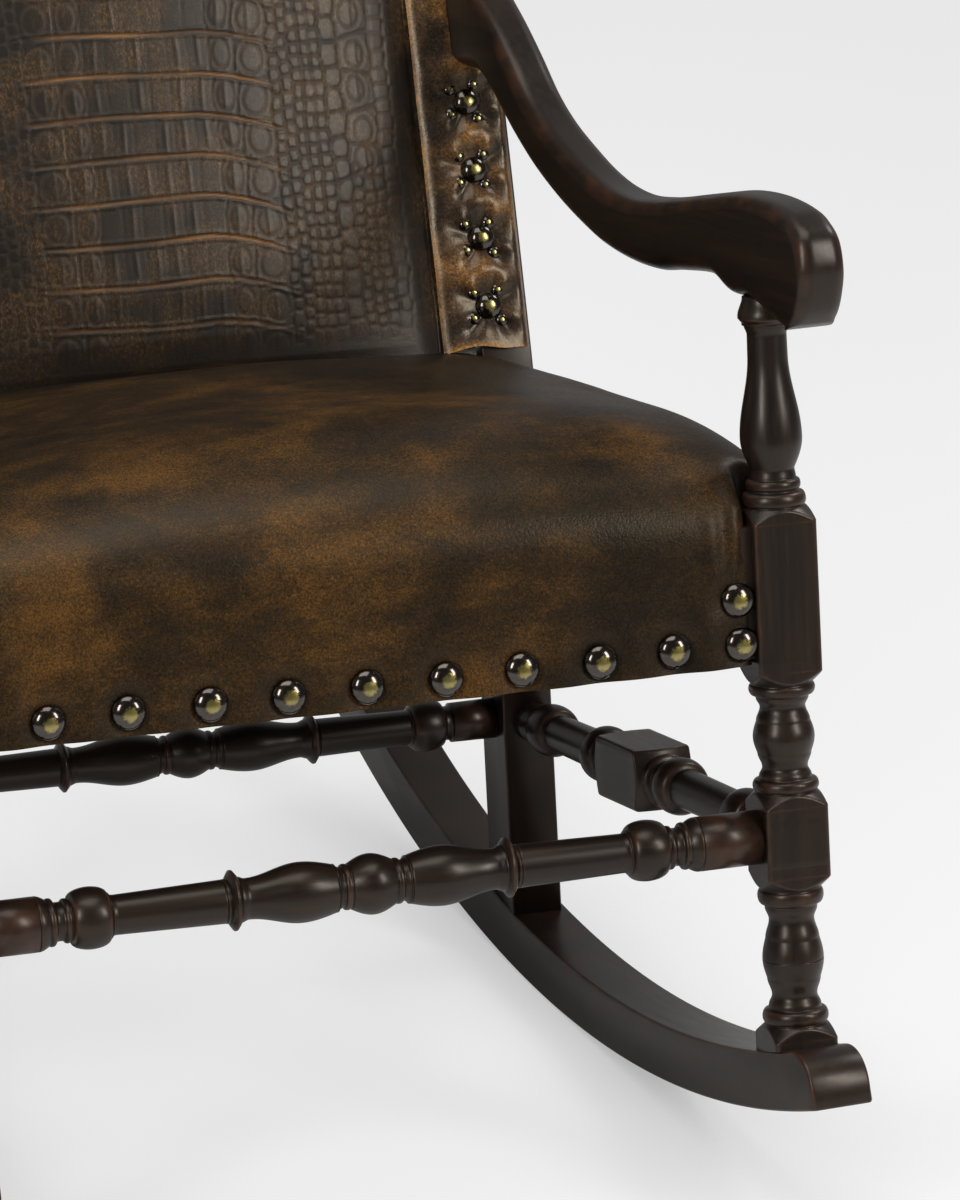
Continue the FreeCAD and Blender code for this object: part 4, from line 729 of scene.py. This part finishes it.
POST_IN, LEG_IN = HALF_FRONT - HALF_SQUARE, HALF_REAR - LEG_WIDTH / 2
clearings = []
for side in (-1, 1):
    for near, far, low, high in ((POST_IN - 0.6, 400, -60, HALF_SQUARE + 0.6), (LEG_IN - 0.6, 400, LEG_FRONT - 0.6, 600)):
        xs = sorted((side * near, side * far))
        clearings.append(clearing("clearing", (xs[0], low, 100), (xs[1], high, 700)))
for tool in clearings:
    notch = seat_form.modifiers.new("notch", "BOOLEAN")
    notch.object, notch.operation, notch.solver = tool, "DIFFERENCE", "EXACT"
voxels = seat_form.modifiers.new("voxels", "REMESH")
voxels.mode, voxels.voxel_size = "VOXEL", 5.0
soften = seat_form.modifiers.new("soften", "SMOOTH")
soften.factor, soften.iterations = 0.5, 12
seat_points, seat_faces = applied(seat_form)
for tool in clearings:
    bpy.data.objects.remove(tool)
seat_mesh = mesh_object("seat_skin", seat_points, seat_faces)
work = bmesh.new()
work.from_mesh(seat_mesh.data)
bmesh.ops.bisect_plane(work, geom=work.verts[:] + work.edges[:] + work.faces[:],
                       plane_co=(0, 0, APRON_BOTTOM), plane_no=(0, 0, 1), clear_inner=True)
work.to_mesh(seat_mesh.data)
work.free()
finer = seat_mesh.modifiers.new("finer", "SUBSURF")
finer.levels = finer.render_levels = 1
thick = seat_mesh.modifiers.new("thick", "SOLIDIFY")
thick.thickness, thick.offset = 2.6, -1
seat_points, seat_faces = applied(seat_mesh)
NAIL_LEVEL, NAIL_SPACING, CORNER_X, CORNER_LIFT = 287.0, 54.0, POST_IN - 11.6, 30
front_row = [(NAIL_SPACING * i, NAIL_LEVEL) for i in range(-4, 5)]
front_row += [(side * CORNER_X, NAIL_LEVEL + lift) for side in (-1, 1) for lift in (0, CORNER_LIFT)]
DIMPLE, DIMPLE_REACH, DIMPLE_LIP, RIPPLE, PLEAT, WAVE = 2.6, 12, 0.8, 0.9, 2.4, 0.9
PLEATS = ((0.16, 262, 5.0), (0.02, 254, 6.5))
PLEAT_LOW, PLEAT_HIGH = 318, 408
seat_x, seat_y, seat_z = seat_points.T
on_front = within((8 - seat_y) / 16)
for x, z in front_row:
    away = np.hypot(seat_x - x, seat_z - z)
    seat_y += on_front * (DIMPLE * np.exp(-(away / DIMPLE_REACH) ** 2) - DIMPLE_LIP * np.exp(-((away - 24) / 9) ** 2))
between_nails = np.cos(2 * math.pi * seat_x / NAIL_SPACING)
seat_y += on_front * np.exp(-np.clip(seat_z - NAIL_LEVEL, 0, None) / 26) * RIPPLE * between_nails
for side in (-1, 1):
    for lean, start, reach in PLEATS:
        fold = side * seat_x - start - lean * (seat_z - NAIL_LEVEL - CORNER_LIFT)
        ends = within((seat_z - PLEAT_LOW) / 20) * within((PLEAT_HIGH - seat_z) / 50)
        near_front = within((40 - seat_y) / 50)
        seat_y += near_front * ends * (PLEAT * np.exp(-(fold / reach) ** 2) - 1.0 * np.exp(-((fold + 8) / 6) ** 2))
waves = np.sin(seat_x / 41 + 0.6 * np.sin(seat_y / 37)) * np.sin(seat_y / 53 + seat_x / 90)
seat_z += WAVE * waves * within((seat_z - 400) / 30)
seat_points = np.column_stack([seat_x, seat_y, seat_z])
# Rubbed lighter over the front roll; darker towards the right and low on the apron;
# painted shade towards the back, where the seat meets the back panel.
rubbed = 0.10 * within(1 - np.abs(seat_y - 60) / 170) - 0.16 * within((seat_x - 60) / 220) ** 1.5
rubbed -= 0.10 * within((seat_y - 300) / 120) + 0.07 * within((330 - seat_z) / 50)
seat = piece("seat_leather", seat_points, seat_faces, seat_hide, "seat_leather",
             ["seat_cover", "seat_foam", "seat_webbing"], rubbed=rubbed)


# Dust cloth: thin black woven cloth, cut to the frame and notched round the posts.
# It is tacked under the four seat rails, so that no dust falls from the stuffing.
dust_cloth, tree, shader = finish_of("DustCloth", Specular_IOR_Level=0.2)
place = place_of(tree)
weave = node(tree, "ShaderNodeTexChecker", {"Vector": place, "Scale": 900.0}).outputs["Fac"]
threads = maths(tree, "MULTIPLY", weave, noise(tree, place, 40))
dress(tree, shader, blend(tree, threads, (0.008, 0.008, 0.008, 1), (0.022, 0.021, 0.020, 1)), scaled(tree, weave, 0.1, 0.8))


def sheet_faces(rows, columns):
    """Quads over a grid of points, row by row."""
    cells = np.arange(rows * columns).reshape(rows, columns)
    return np.stack([cells[:-1, :-1], cells[:-1, 1:], cells[1:, 1:], cells[1:, :-1]], 2).reshape(-1, 4).tolist()


DUST_LEVEL, DUST_COUNT, DUST_FRONT, DUST_LENGTH = 275.2, 40, -11.5, 477.5
dust_points, dust_reaches = [], []
for y in np.linspace(DUST_FRONT, DUST_FRONT + DUST_LENGTH, DUST_COUNT):
    reach = POST_IN - 3 if y < HALF_SQUARE + 3 else min(side_reach(-4.0, y), 1e9 if y < LEG_FRONT - 3 else LEG_IN - 3)
    dust_reaches.append(reach)
    for share in np.linspace(-1, 1, DUST_COUNT):
        sag = 1.2 * (1 - share ** 2) * math.sin(math.pi * (y - DUST_FRONT) / (DUST_LENGTH + 0.5))
        dust_points.append((share * reach, y, DUST_LEVEL - max(sag, 0)))
dust_faces = [face[::-1] for face in sheet_faces(DUST_COUNT, DUST_COUNT)]
dust = piece("dust_cloth", dust_points, dust_faces, dust_cloth, "lining", ["dust_cover"])


# Back: a stuffed panel of brown hide embossed with reptile scales, rust-coloured in the creases, drawn over the crest rail.
# Bowed rows of flat plates run across its middle, each with a faint keel, then columns of ovals, then small scales.
PANEL_HALF, PANEL_CROWN, PANEL_FOOT, CREST_RISE = 204.0, 26.0, 30.0, 24.0
ARCH_HALF = HALF_REAR + LEG_WIDTH / 2
ARCH_RADIUS = (ARCH_HALF ** 2 + CREST_RISE ** 2) / (2 * CREST_RISE)
STEP = 1.25


def arch(x):
    """The height of the crest rail's arched top."""
    return BACK_LENGTH + CREST_RISE - ARCH_RADIUS + np.sqrt(ARCH_RADIUS ** 2 - x ** 2)


def panel_top(x):
    """The arch with its leather, brought down to the rear posts at its ends."""
    on_post = within((np.abs(x) - LEG_IN + 4) / 14)
    return arch(x) + 3 - on_post * (arch(x) + 4 - BACK_LENGTH)


ROW, FIRST_ROW, PLAIN_FOOT, PLAIN_FADE = 30.0, -47.2, 46, 24
DOME, CREASE, KEEL, ROW_GROOVE, ROW_LIP = 0.32, 0.55, 0.3, 0.85, 0.5
CREASE_WIDE, RING_WIDE, KEEL_WIDE, ROW_WIDE = 1.15, 1.1, 1.3, 0.95
MIDDLE = [(15.5 * (i + 0.5), 15.5, ROW, 4.0, 0.22) for i in range(3)] + [(55.5, 18.5, ROW, 2.0, 0.7), (77.5, 24.0, ROW, 2.0, 0.8)]
SMALL = [(94.0 + 8.4 * i, 8.4, 10.4, 2.6, 1.0) for i in range(5)] + [(140.5, 12.0, 17.0, 2.0, 1.0)]
OUTER_HIGH = [(158.5, 22.0, 27.0, 2.0, 0.9)]
OUTER_LOW = [(151.0 + 8.6 * i, 8.6, 9.0, 2.6, 1.0) for i in range(3)]
RIM = [(178.5 + 10 * i, 10.0, 12.0, 2.6, 0.6) for i in range(3)]
OUTER_TURN = 175.0


def droop(x):
    """How far the rows of plates hang down towards one side, as the hide was cut."""
    return 15.0 * (np.clip(x - 30, 0, 68) / 65) ** 1.7 + 0.02 * np.minimum(x, 0)


rng = np.random.default_rng(7)
seeds = []
for side in (-1, 1):
    for column in MIDDLE + SMALL + OUTER_HIGH + OUTER_LOW + RIM:
        middle, wide, tall, power, line = column
        level = FIRST_ROW + (0.5 * tall if column in MIDDLE else tall * rng.random())
        loose = 0.02 if tall == ROW else 0.08
        while level < BACK_LENGTH + 60:
            shift = droop(side * middle) if column in MIDDLE else 0.0
            if not (column in OUTER_HIGH and level < OUTER_TURN or column in OUTER_LOW and level > OUTER_TURN):
                spread = [loose * rng.standard_normal() for _ in range(4)]
                seeds.append((side * (middle + wide * spread[0]), level - shift + tall * spread[1],
                              wide * (1 + spread[2]), tall * (1 + spread[3]), power, line))
            level += tall
seeds = np.array(seeds)

PANEL_REACH = PANEL_HALF + 27
panel_x = np.linspace(-PANEL_REACH, PANEL_REACH, int(2 * PANEL_REACH / STEP))
panel_v = np.linspace(0, 1, int((BACK_LENGTH + CREST_RISE - PANEL_FOOT) / STEP))
grid_x, grid_v = np.meshgrid(panel_x, panel_v)
grid_h = PANEL_FOOT + (panel_top(grid_x) - PANEL_FOOT) * grid_v
tree_of = kdtree.KDTree(len(seeds))
for index, seed in enumerate(seeds):
    tree_of.insert((seed[0], seed[1], 0), index)
tree_of.balance()
flat_x, flat_h = grid_x.ravel(), grid_h.ravel()
warp = 0.9 * np.sin(flat_x / 17 + 1.3 * np.sin(flat_h / 23)) + 0.6 * np.sin(flat_h / 9 + flat_x / 31)
moved_x, moved_h = flat_x + warp * 0.6, flat_h + warp
nearest = np.array([[found[1] for found in tree_of.find_n((x, h, 0), 8)] for x, h in zip(moved_x, moved_h)])
near = seeds[nearest]
across = np.abs(moved_x[:, None] - near[..., 0]) / near[..., 2]
along = np.abs(moved_h[:, None] - near[..., 1]) / near[..., 3]
apart = (across ** near[..., 4] + along ** near[..., 4]) ** (1 / near[..., 4])
order = np.argsort(apart, 1)
first, second = (np.take_along_axis(apart, order[:, k:k + 1], 1)[:, 0] for k in (0, 1))
own = near[np.arange(len(near)), order[:, 0]]
fade = within((PANEL_HALF - np.abs(flat_x)) / 30) * (1 - 0.65 * within((-80 - flat_x) / 15))
plain = within((flat_h - PLAIN_FOOT) / PLAIN_FADE)
crease = np.exp(-((second - first) * own[:, 2] / CREASE_WIDE) ** 2) * own[:, 5]
ring = np.exp(-((first - 0.36) * own[:, 2] / RING_WIDE) ** 2) * (own[:, 4] == 2) * (own[:, 2] > 15) * 0.6
keel_ends = within(1.1 - (2.1 * (moved_h - own[:, 1]) / own[:, 3]) ** 2) * (own[:, 3] > 20)
keel = (np.sin(own[:, 0] * 7 + own[:, 1] * 3) > -0.3) * np.exp(-((moved_x - own[:, 0]) / KEEL_WIDE) ** 2) * keel_ends
row_gap = (flat_h + droop(flat_x) + 1.3 * np.sin(flat_x / 29 + flat_h / 40) - FIRST_ROW + ROW / 2) % ROW - ROW / 2
row_line = np.exp(-(row_gap / ROW_WIDE) ** 2) * within((98 - flat_x) / 30) * within((96 + flat_x) / 30)
crease = within(crease + ring) * (0.35 + 0.65 * fade) * plain
row_line *= np.clip((flat_h - 40) / 90, 0.15, 1) * (0.75 + 0.25 * np.sin(flat_x / 23 + flat_h / 7))
dome_height = (1 - within(first / 0.58) ** 4) * fade * plain
flat_plate = np.where(own[:, 4] > 3, 0.08, 1.0)
row_lip = np.exp(-((np.abs(row_gap) - 3) / 1.6) ** 2) * (row_line > 1e-6) * plain
emboss = DOME * dome_height * flat_plate - CREASE * crease + KEEL * keel * plain - ROW_GROOVE * row_line + ROW_LIP * row_lip
share = flat_x / PANEL_HALF
rise = np.interp(grid_v.ravel(), [0, 0.02, 0.05, 0.1, 0.2, 0.75, 0.86, 0.94, 1],
                 [0.35, 0.58, 0.76, 0.90, 1, 1, 0.88, 0.68, 0.32])
edge_roll = within(1 - (PANEL_HALF - np.abs(flat_x)) / 22)
bulge = PANEL_CROWN * (1 - within(np.abs(share)) ** 2.4) * rise
depth = -bulge - 2.5 + 5.5 * edge_roll ** 2 - emboss
rows, columns = grid_x.shape
ROLL_ROWS = 14
turn = np.linspace(0, 1, ROLL_ROWS + 1)[1:, None]
top_depth = depth.reshape(rows, columns)[-1]
roll_depth = top_depth + (BACK_DEPTH + 0.6 - top_depth) * turn
roll_high = grid_h[-1] + 1.6 * np.sin(math.pi * turn) - 1.5 * turn
panel_points = np.vstack([np.column_stack([flat_x, depth, flat_h]),
                          np.column_stack([np.tile(panel_x, ROLL_ROWS), roll_depth.ravel(), roll_high.ravel()])])
no_scales = np.zeros(ROLL_ROWS * columns)
crease, dome_height, row_line = (np.concatenate([mark, no_scales]) for mark in (crease, dome_height, row_line))
# Painted shade in the recess along each band's inner edge and at the foot above the seat;
# the roll over the crest is darkened a little too.
rim_dark = 0.85 * np.maximum(np.exp(-((PANEL_HALF - np.abs(flat_x) - 18) / 12) ** 2),
                             np.exp(-((flat_h - PANEL_FOOT - 6) / 30) ** 2))
back_hide, tree, shader = finish_of("EmbossedHide", Specular_IOR_Level=0.42, Specular_Tint=(1.0, 0.90, 0.78, 1))
place = place_of(tree)
in_crease = mark_of(tree, "crease")
rust_patch = levels(tree, noise(tree, place, 16, 4), 0.36, 0.6)
smoke = levels(tree, noise(tree, place, 24, 3), 0.42, 0.58)
speck = levels(tree, noise(tree, stretched(tree, place, (1, 1, 0.5)), 560, 3, 0.8), 0.48, 0.66)
speck = maths(tree, "MULTIPLY", speck, scaled(tree, smoke, 0.8, 0.1))
rust = blend(tree, rust_patch, (0.006, 0.004, 0.003, 1), (0.060, 0.028, 0.010, 1))
orange = blend(tree, rust_patch, (0.07, 0.034, 0.012, 1), (0.33, 0.145, 0.042, 1))
tone = blend(tree, smoke, (0.0085, 0.0072, 0.0062, 1), (0.022, 0.0135, 0.0072, 1))
# The near-black tone at the panel's sides and foot is painted shade.
for share, colour in ((speck, (0.125, 0.063, 0.020, 1)), (mark_of(tree, "rim"), (0.010, 0.007, 0.005, 1)),
                      (scaled(tree, mark_of(tree, "scale_top"), 0.1), (0.06, 0.040, 0.023, 1)),
                      (scaled(tree, in_crease, 0.6), rust), (scaled(tree, mark_of(tree, "row_line"), 0.85), orange)):
    tone = blend(tree, share, tone, colour)
fine = maths(tree, "ADD", noise(tree, stretched(tree, place, (1, 1, 2.5)), 420, 4, 0.7), noise(tree, place, 1300, 2))
dress(tree, shader, tone, scaled(tree, in_crease, 0.25, 0.34), fine, 0.22)
back = piece("embossed_back", on_back(panel_points), sheet_faces(rows + ROLL_ROWS, columns), back_hide, "embossed_leather",
             ["back_cover", "back_foam", "back_webbing"], crease=crease, scale_top=dome_height, row_line=row_line,
             rim=np.concatenate([rim_dark, np.full(ROLL_ROWS * columns, 0.3)]))


# Outside back: a plain panel of brown hide, lightly padded, that closes the back frame from behind.
# It is fixed along the crest rail and the rear posts.
outside_hide = hide_finish("OutsideHide", ((0.014, 0.010, 0.007), (0.034, 0.021, 0.012), (0.075, 0.042, 0.018)), 5.0, 0.25)
OUT_ROWS, OUT_COLUMNS, OUT_FOOT, OUT_SWELL = 60, 50, 46, 2.6
out_points = []
for v in np.linspace(0, 1, OUT_ROWS):
    for u in np.linspace(-1, 1, OUT_COLUMNS):
        x = u * (ARCH_HALF - 3)
        h = OUT_FOOT + (min(arch(x), panel_top(x) + 1.4) - OUT_FOOT) * v
        swell = OUT_SWELL * (1 - u ** 8) * (1 - (2 * v - 1) ** 8)
        out_points.append((x, BACK_DEPTH + 0.4 + swell, h))
out_faces = [face[:1] + face[:0:-1] for face in sheet_faces(OUT_ROWS, OUT_COLUMNS)]
piece("outside_back_leather", on_back(out_points), out_faces, outside_hide, "band_leather", ["outside_back"])


# Bands: worn strips of the same hide folded over the rear posts' front and wrapped over their tops.
# Clusters of nails hold them and pucker the leather.
band_hide = hide_finish("BandHide", ((0.015, 0.010, 0.008), (0.056, 0.030, 0.014), (0.27, 0.125, 0.032)), 30.0, 0.2, "rubbed",
                        gloss=0.5, dull=0.1)
BAND_OUT, BAND_WIDTH, BAND_FOOT = HALF_REAR + LEG_WIDTH / 2 - 3, 64.0, 34.0
BAND_NAIL_AT, NAIL_FOOT, NAIL_PITCH = HALF_REAR - 11.0, 66.0, 50.0
NAIL_PULL, PULL_REACH, PILLOW = 4.2, 15, 2.6
arm_middle = (ARM_UNDER + ARM_RISE - BEND_LEVEL) / math.cos(RAKE)
band_nails = [NAIL_FOOT + NAIL_PITCH * i for i in range(12) if abs(NAIL_FOOT + NAIL_PITCH * i - arm_middle) > 67.5]
band_u = np.linspace(0, 1, 44)
BAND_TOP = BACK_LENGTH + 3
band_v = np.linspace(BAND_FOOT, BAND_TOP, 400)
gu, gv = np.meshgrid(band_u, band_v)
bx = BAND_OUT - BAND_WIDTH * (1 - gu)
roll_in = within(1 - gu * BAND_WIDTH / 9)
roll_out = within(1 - (1 - gu) * BAND_WIDTH / 3)
lift = 2.0 + 2.6 * np.sin(math.pi * gu) ** 0.7 + 0.5 * np.sin(gv / 13 + 3 * gu)
for level in band_nails:
    off_x, off_v = bx - BAND_NAIL_AT, gv - level
    away = np.hypot(off_x, off_v)
    turn_of = np.arctan2(off_v, off_x)
    lift -= NAIL_PULL * np.exp(-(away / PULL_REACH) ** 2)
    lift += PILLOW * np.exp(-((off_v - NAIL_PITCH / 2) / 9) ** 2) * np.exp(-(off_x / 22) ** 2)
    lift += (1.2 * np.sin(5 * turn_of + level) + 0.6 * np.sin(9 * turn_of + 2 * level)) * np.exp(-((away - 19) / 8) ** 2)
foot_fold = np.exp(-(gv - BAND_FOOT) / 7)
lift += 1.8 * foot_fold * np.sin(math.pi * gu)
gv = gv + 3.2 * np.exp(-(gv - BAND_FOOT) / 12) * np.sin(math.pi * within(gu * 1.3)) ** 2
band_depth = -lift - 0.4 + 2.6 * roll_in ** 2 + 1.8 * roll_out ** 2
tucked = within(1 - (BAND_TOP - gv) / 7) ** 2
band_depth += tucked * (2.4 - band_depth)
gv = gv + within(1 - (BAND_TOP - gv) / 60) ** 2 * (np.minimum(arch(bx) - 0.4, panel_top(bx) + 2) - BAND_TOP)
WRAP_ROWS = 10
wrap = np.linspace(0, 1, WRAP_ROWS + 1)[1:, None]
wrap_depth = band_depth[-1] + (BACK_DEPTH - band_depth[-1]) * wrap
band_points = np.vstack([np.column_stack([bx.ravel(), band_depth.ravel(), gv.ravel()]),
                         np.column_stack([np.tile(bx[-1], WRAP_ROWS), wrap_depth.ravel(), np.tile(gv[-1], WRAP_ROWS)])])
band_faces = sheet_faces(len(band_v) + WRAP_ROWS, len(band_u))
# The rolled edges and folded foot are rubbed lighter; the lift term paints highlight on the raised puckers
# and shade in the dimples round the nails.
edge_rub_and_shade = 0.30 * np.maximum(np.maximum(roll_out, roll_in ** 3), within(foot_fold * 1.6 - 0.5)) + 0.04 * (lift - 3.5)
both_sides("band_leather", on_back(band_points), band_faces, band_hide, "band_leather", ["back_band"],
           rubbed=np.concatenate([edge_rub_and_shade.ravel() - 0.06, np.zeros(WRAP_ROWS * len(band_u))]))


# Nails: large domed heads in antique bronze along the seat's lower edge, and clusters of one large and four small on the bands.
# Each head is set by hand, so no two sit quite alike.
bronze, tree, shader = finish_of("AntiqueBronze", Metallic=1.0, Coat_Weight=1.0, Coat_Roughness=0.1)
tarnish = noise(tree, place_of(tree), 420, 5, 0.7)
crown = scaled(tree, maths(tree, "SUBTRACT", tarnish, 0.5), 0.22, mark_of(tree, "crown"))
polish = levels(tree, crown, 0.87, 0.97, soft=True)
patina = ramp(tree, tarnish, (0.35, (0.022, 0.016, 0.012)), (0.7, (0.058, 0.040, 0.026)))
dress(tree, shader, blend(tree, polish, patina, (0.32, 0.26, 0.075, 1)),
      scaled(tree, polish, 0.12, scaled(tree, tarnish, 0.15, 0.12)))


def nail_points(name, places):
    """A point for each nail, with its direction and size as point marks."""
    mesh = bpy.data.meshes.new(name)
    mesh.from_pydata([place for place, *_ in places], [], [])
    _, facing, across = zip(*places)
    keep_marks(mesh, {"facing": facing, "across": across})
    return linked(name, mesh)


head_tree = bpy.data.node_groups.new("DomedNails", "GeometryNodeTree")
head_tree.interface.new_socket("Geometry", in_out="INPUT", socket_type="NodeSocketGeometry")
rise_socket = head_tree.interface.new_socket("Rise", in_out="INPUT", socket_type="NodeSocketFloat")
rise_socket.default_value = 0.62
head_tree.interface.new_socket("Geometry", in_out="OUTPUT", socket_type="NodeSocketGeometry")
given = head_tree.nodes.new("NodeGroupInput").outputs
dome = node(head_tree, "GeometryNodeMeshUVSphere", {"Segments": 28, "Rings": 18, "Radius": 0.5})
height = head_tree.nodes.new("ShaderNodeCombineXYZ")
height.inputs[0].default_value = height.inputs[1].default_value = 1.0
head_tree.links.new(given["Rise"], height.inputs[2])
level_on = head_tree.nodes.new("ShaderNodeSeparateXYZ")
head_tree.links.new(node(head_tree, "GeometryNodeInputPosition").outputs[0], level_on.inputs[0])
marked = node(head_tree, "GeometryNodeStoreNamedAttribute",
              {"Geometry": dome.outputs["Mesh"], "Name": "crown",
               "Value": maths(head_tree, "MULTIPLY", level_on.outputs[2], 2.0)},
              data_type="FLOAT", domain="POINT")
squat = node(head_tree, "GeometryNodeTransform", {"Geometry": marked.outputs[0], "Scale": height.outputs[0]})
facing = node(head_tree, "GeometryNodeInputNamedAttribute", {"Name": "facing"}, data_type="FLOAT_VECTOR").outputs[0]
across = node(head_tree, "GeometryNodeInputNamedAttribute", {"Name": "across"}, data_type="FLOAT").outputs[0]
turn = node(head_tree, "FunctionNodeAlignRotationToVector", {"Vector": facing}, axis="Z")
placed = node(head_tree, "GeometryNodeInstanceOnPoints",
              {"Points": given["Geometry"], "Instance": squat.outputs["Geometry"], "Rotation": turn.outputs[0], "Scale": across})
heads = node(head_tree, "GeometryNodeRealizeInstances", {"Geometry": placed.outputs[0]})
smooth = node(head_tree, "GeometryNodeSetShadeSmooth", {"Geometry": heads.outputs[0]})
done = node(head_tree, "GeometryNodeSetMaterial", {"Geometry": smooth.outputs[0], "Material": bronze})
head_tree.links.new(done.outputs[0], head_tree.nodes.new("NodeGroupOutput").inputs[0])


def nail_heads(name, places, nodes, rise=0.62):
    """Nails at their places, made into one plain mesh."""
    points = nail_points(name, places)
    made = points.modifiers.new("heads", "NODES")
    made.node_group = head_tree
    made[rise_socket.identifier] = rise
    mesh = bpy.data.meshes.new_from_object(points.evaluated_get(bpy.context.evaluated_depsgraph_get()))
    mesh.name = name
    points.modifiers.clear()
    points.data = mesh
    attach(points, "root")
    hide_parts(*nodes)
    return points


def facing_of(origin, away):
    """A direction of the upright chair after it leans."""
    ends = stand([origin, np.asarray(origin) + np.asarray(away) * 100])
    way = ends[1] - ends[0]
    return tuple(way / np.linalg.norm(way))


def nail(origin, away, size):
    """One nail's place, direction and size on the leaning chair."""
    return tuple(stand([origin])[0]), facing_of(origin, away), size


set_by_hand = np.random.default_rng(11)


def hand(amount):
    """A small slip of the hand, either way."""
    return amount * (set_by_hand.random() - 0.5)


NAIL, BAND_NAIL, SMALL_NAIL = 0.0245, 0.0195, 0.0095
SMALL_AT = ((-11, 10.4), (7, 11.7), (-12, -7.7), (7.4, -12))
SIDE_NAILS, POST_CLEAR = 7, 22
front_places = [nail((x + hand(2), 0.9 - FRONT_FACE, z + hand(2)), (hand(0.1), -1, hand(0.1)), NAIL) for x, z in front_row]
nail_heads("seat_front_nail_heads", front_places, ["seat_front_nails"])
for label, side in (("right", 1), ("left", -1)):
    side_places = []
    for y in np.linspace(HALF_SQUARE + POST_CLEAR, LEG_FRONT - POST_CLEAR, SIDE_NAILS):
        side_places.append(nail((side * side_reach(FRONT_FACE + 0.4, y), y + hand(2), NAIL_LEVEL + hand(2)),
                                (side * math.cos(SLANT), math.sin(SLANT), hand(0.1)), NAIL))
    nail_heads(label + "_seat_side_nail_heads", side_places, [label + "_seat_side_nails"])
    cluster = []
    for level in band_nails:
        middle = on_back([[side * BAND_NAIL_AT, -2.4, level]])[0]
        away = on_back([[0, -1, 0]])[0] - on_back([[0, 0, 0]])[0]
        cluster.append(nail(middle, away + [hand(0.1), 0, hand(0.1)], BAND_NAIL))
        for dx, dh in SMALL_AT:
            spot = on_back([[side * (BAND_NAIL_AT + dx + hand(2)), -2.6, level + dh + hand(2)]])[0]
            cluster.append(nail(spot, away, SMALL_NAIL))
    nail_heads(label + "_band_nail_heads", cluster, [label + "_back_band_nails"])


# Studio: a pale floor that keeps the chair's shadow, its glow dimmed near the chair as a painted contact shadow,
# a pale backdrop, broad soft lamps above and on both sides, and a long-lens camera at the photograph's viewing angle.
floor_finish, tree, shader = finish_of("PaleFloor", Specular_IOR_Level=0.1, Roughness=0.9)
shader["Emission Color"].default_value = (1.0, 1.0, 1.0, 1)
rays = node(tree, "ShaderNodeLightPath").outputs
seen_rays = maths(tree, "MAXIMUM", rays["Is Camera Ray"], scaled(tree, rays["Is Glossy Ray"], 0.1))
# Painted contact shadow: the floor's glow is dimmed where the chair comes close.
painted_contact_shade = node(tree, "ShaderNodeAmbientOcclusion", {"Distance": 0.16}, samples=8).outputs["AO"]
glow = maths(tree, "MULTIPLY", scaled(tree, seen_rays, 0.71), scaled(tree, painted_contact_shade, 0.5, 0.5))
tree.links.new(glow, shader["Emission Strength"])
tree.links.new(blend(tree, rays["Is Camera Ray"], (0.8, 0.8, 0.8, 1), (0.24, 0.24, 0.24, 1)), shader["Base Color"])
floor_mesh = bpy.data.meshes.new("floor")
floor_mesh.from_pydata([(-30, -30, 0), (30, -30, 0), (30, 30, 0), (-30, 30, 0)], [], [(0, 1, 2, 3)])
floor_mesh.materials.append(floor_finish)
linked("floor", floor_mesh)

world = bpy.data.worlds.new("studio")
bpy.context.scene.world = world
world.use_nodes = True
sky = world.node_tree.nodes["Background"].inputs
sky["Color"].default_value = (0.95, 0.955, 0.96, 1)
tree = world.node_tree
rays = node(tree, "ShaderNodeLightPath").outputs
way = node(tree, "ShaderNodeSeparateXYZ", {0: node(tree, "ShaderNodeTexCoord").outputs["Generated"]}).outputs["Y"]
behind = levels(tree, way, 0.1, 0.7, soft=True)
mirrored_share = scaled(tree, maths(tree, "MULTIPLY", rays["Is Glossy Ray"], behind), 0.3)
backdrop = maths(tree, "MAXIMUM", rays["Is Camera Ray"], mirrored_share)
tree.links.new(scaled(tree, backdrop, 0.72, 0.13), sky["Strength"])


def softbox(name, place, aim, wide, tall, power, colour=(1, 1, 1)):
    lamp = bpy.data.lights.new(name, "AREA")
    lamp.shape, lamp.size, lamp.size_y, lamp.energy, lamp.color = "RECTANGLE", wide, tall, power, colour
    obj = linked(name, lamp)
    obj.location = place
    obj.rotation_euler = (Vector(aim) - Vector(place)).to_track_quat("-Z", "Y").to_euler()


softbox("overhead", (-0.2, -0.4, 3.2), (0, 0, 0.3), 2.2, 1.8, 42)
softbox("left", (-2.3, -2.0, 1.9), (0, -0.1, 0.5), 0.6, 1.4, 48)
softbox("right", (1.9, -2.3, 2.0), (0, -0.1, 0.5), 0.6, 1.4, 46)
softbox("side", (2.2, 0.5, 2.4), (0.1, -0.1, 0.5), 0.8, 0.8, 16)

RIGHT, UP = np.array([0.9568, -0.2859, -0.0533]), np.array([0.1152, 0.2043, 0.9721])
AHEAD = np.array([0.267, 0.9362, -0.2284])
DISTANCE, TARGET = 4500.0, np.array([0, 0, STRETCHER_LEVEL])
AIM_RIGHT, AIM_UP, FOCAL = 0.01622, 0.04206, 202.4
aim = AHEAD + AIM_RIGHT * RIGHT + AIM_UP * UP
lens_at = TARGET - DISTANCE * AHEAD
seen = stand([lens_at, lens_at + aim * 1000, lens_at + RIGHT * 1000])
ahead = Vector(seen[1] - seen[0]).normalized()
right = Vector(seen[2] - seen[0])
right = (right - ahead * right.dot(ahead)).normalized()
up = right.cross(ahead)
lens = bpy.data.cameras.new("camera")
lens.sensor_width, lens.lens = 36.0, FOCAL
lens.clip_end = 100
camera = linked("camera", lens)
turned = Matrix((right, up, -ahead)).transposed().to_4x4()
turned.translation = Vector(seen[0])
camera.matrix_world = turned
bpy.context.scene.camera = camera
bpy.context.scene.view_settings.view_transform = "Standard"
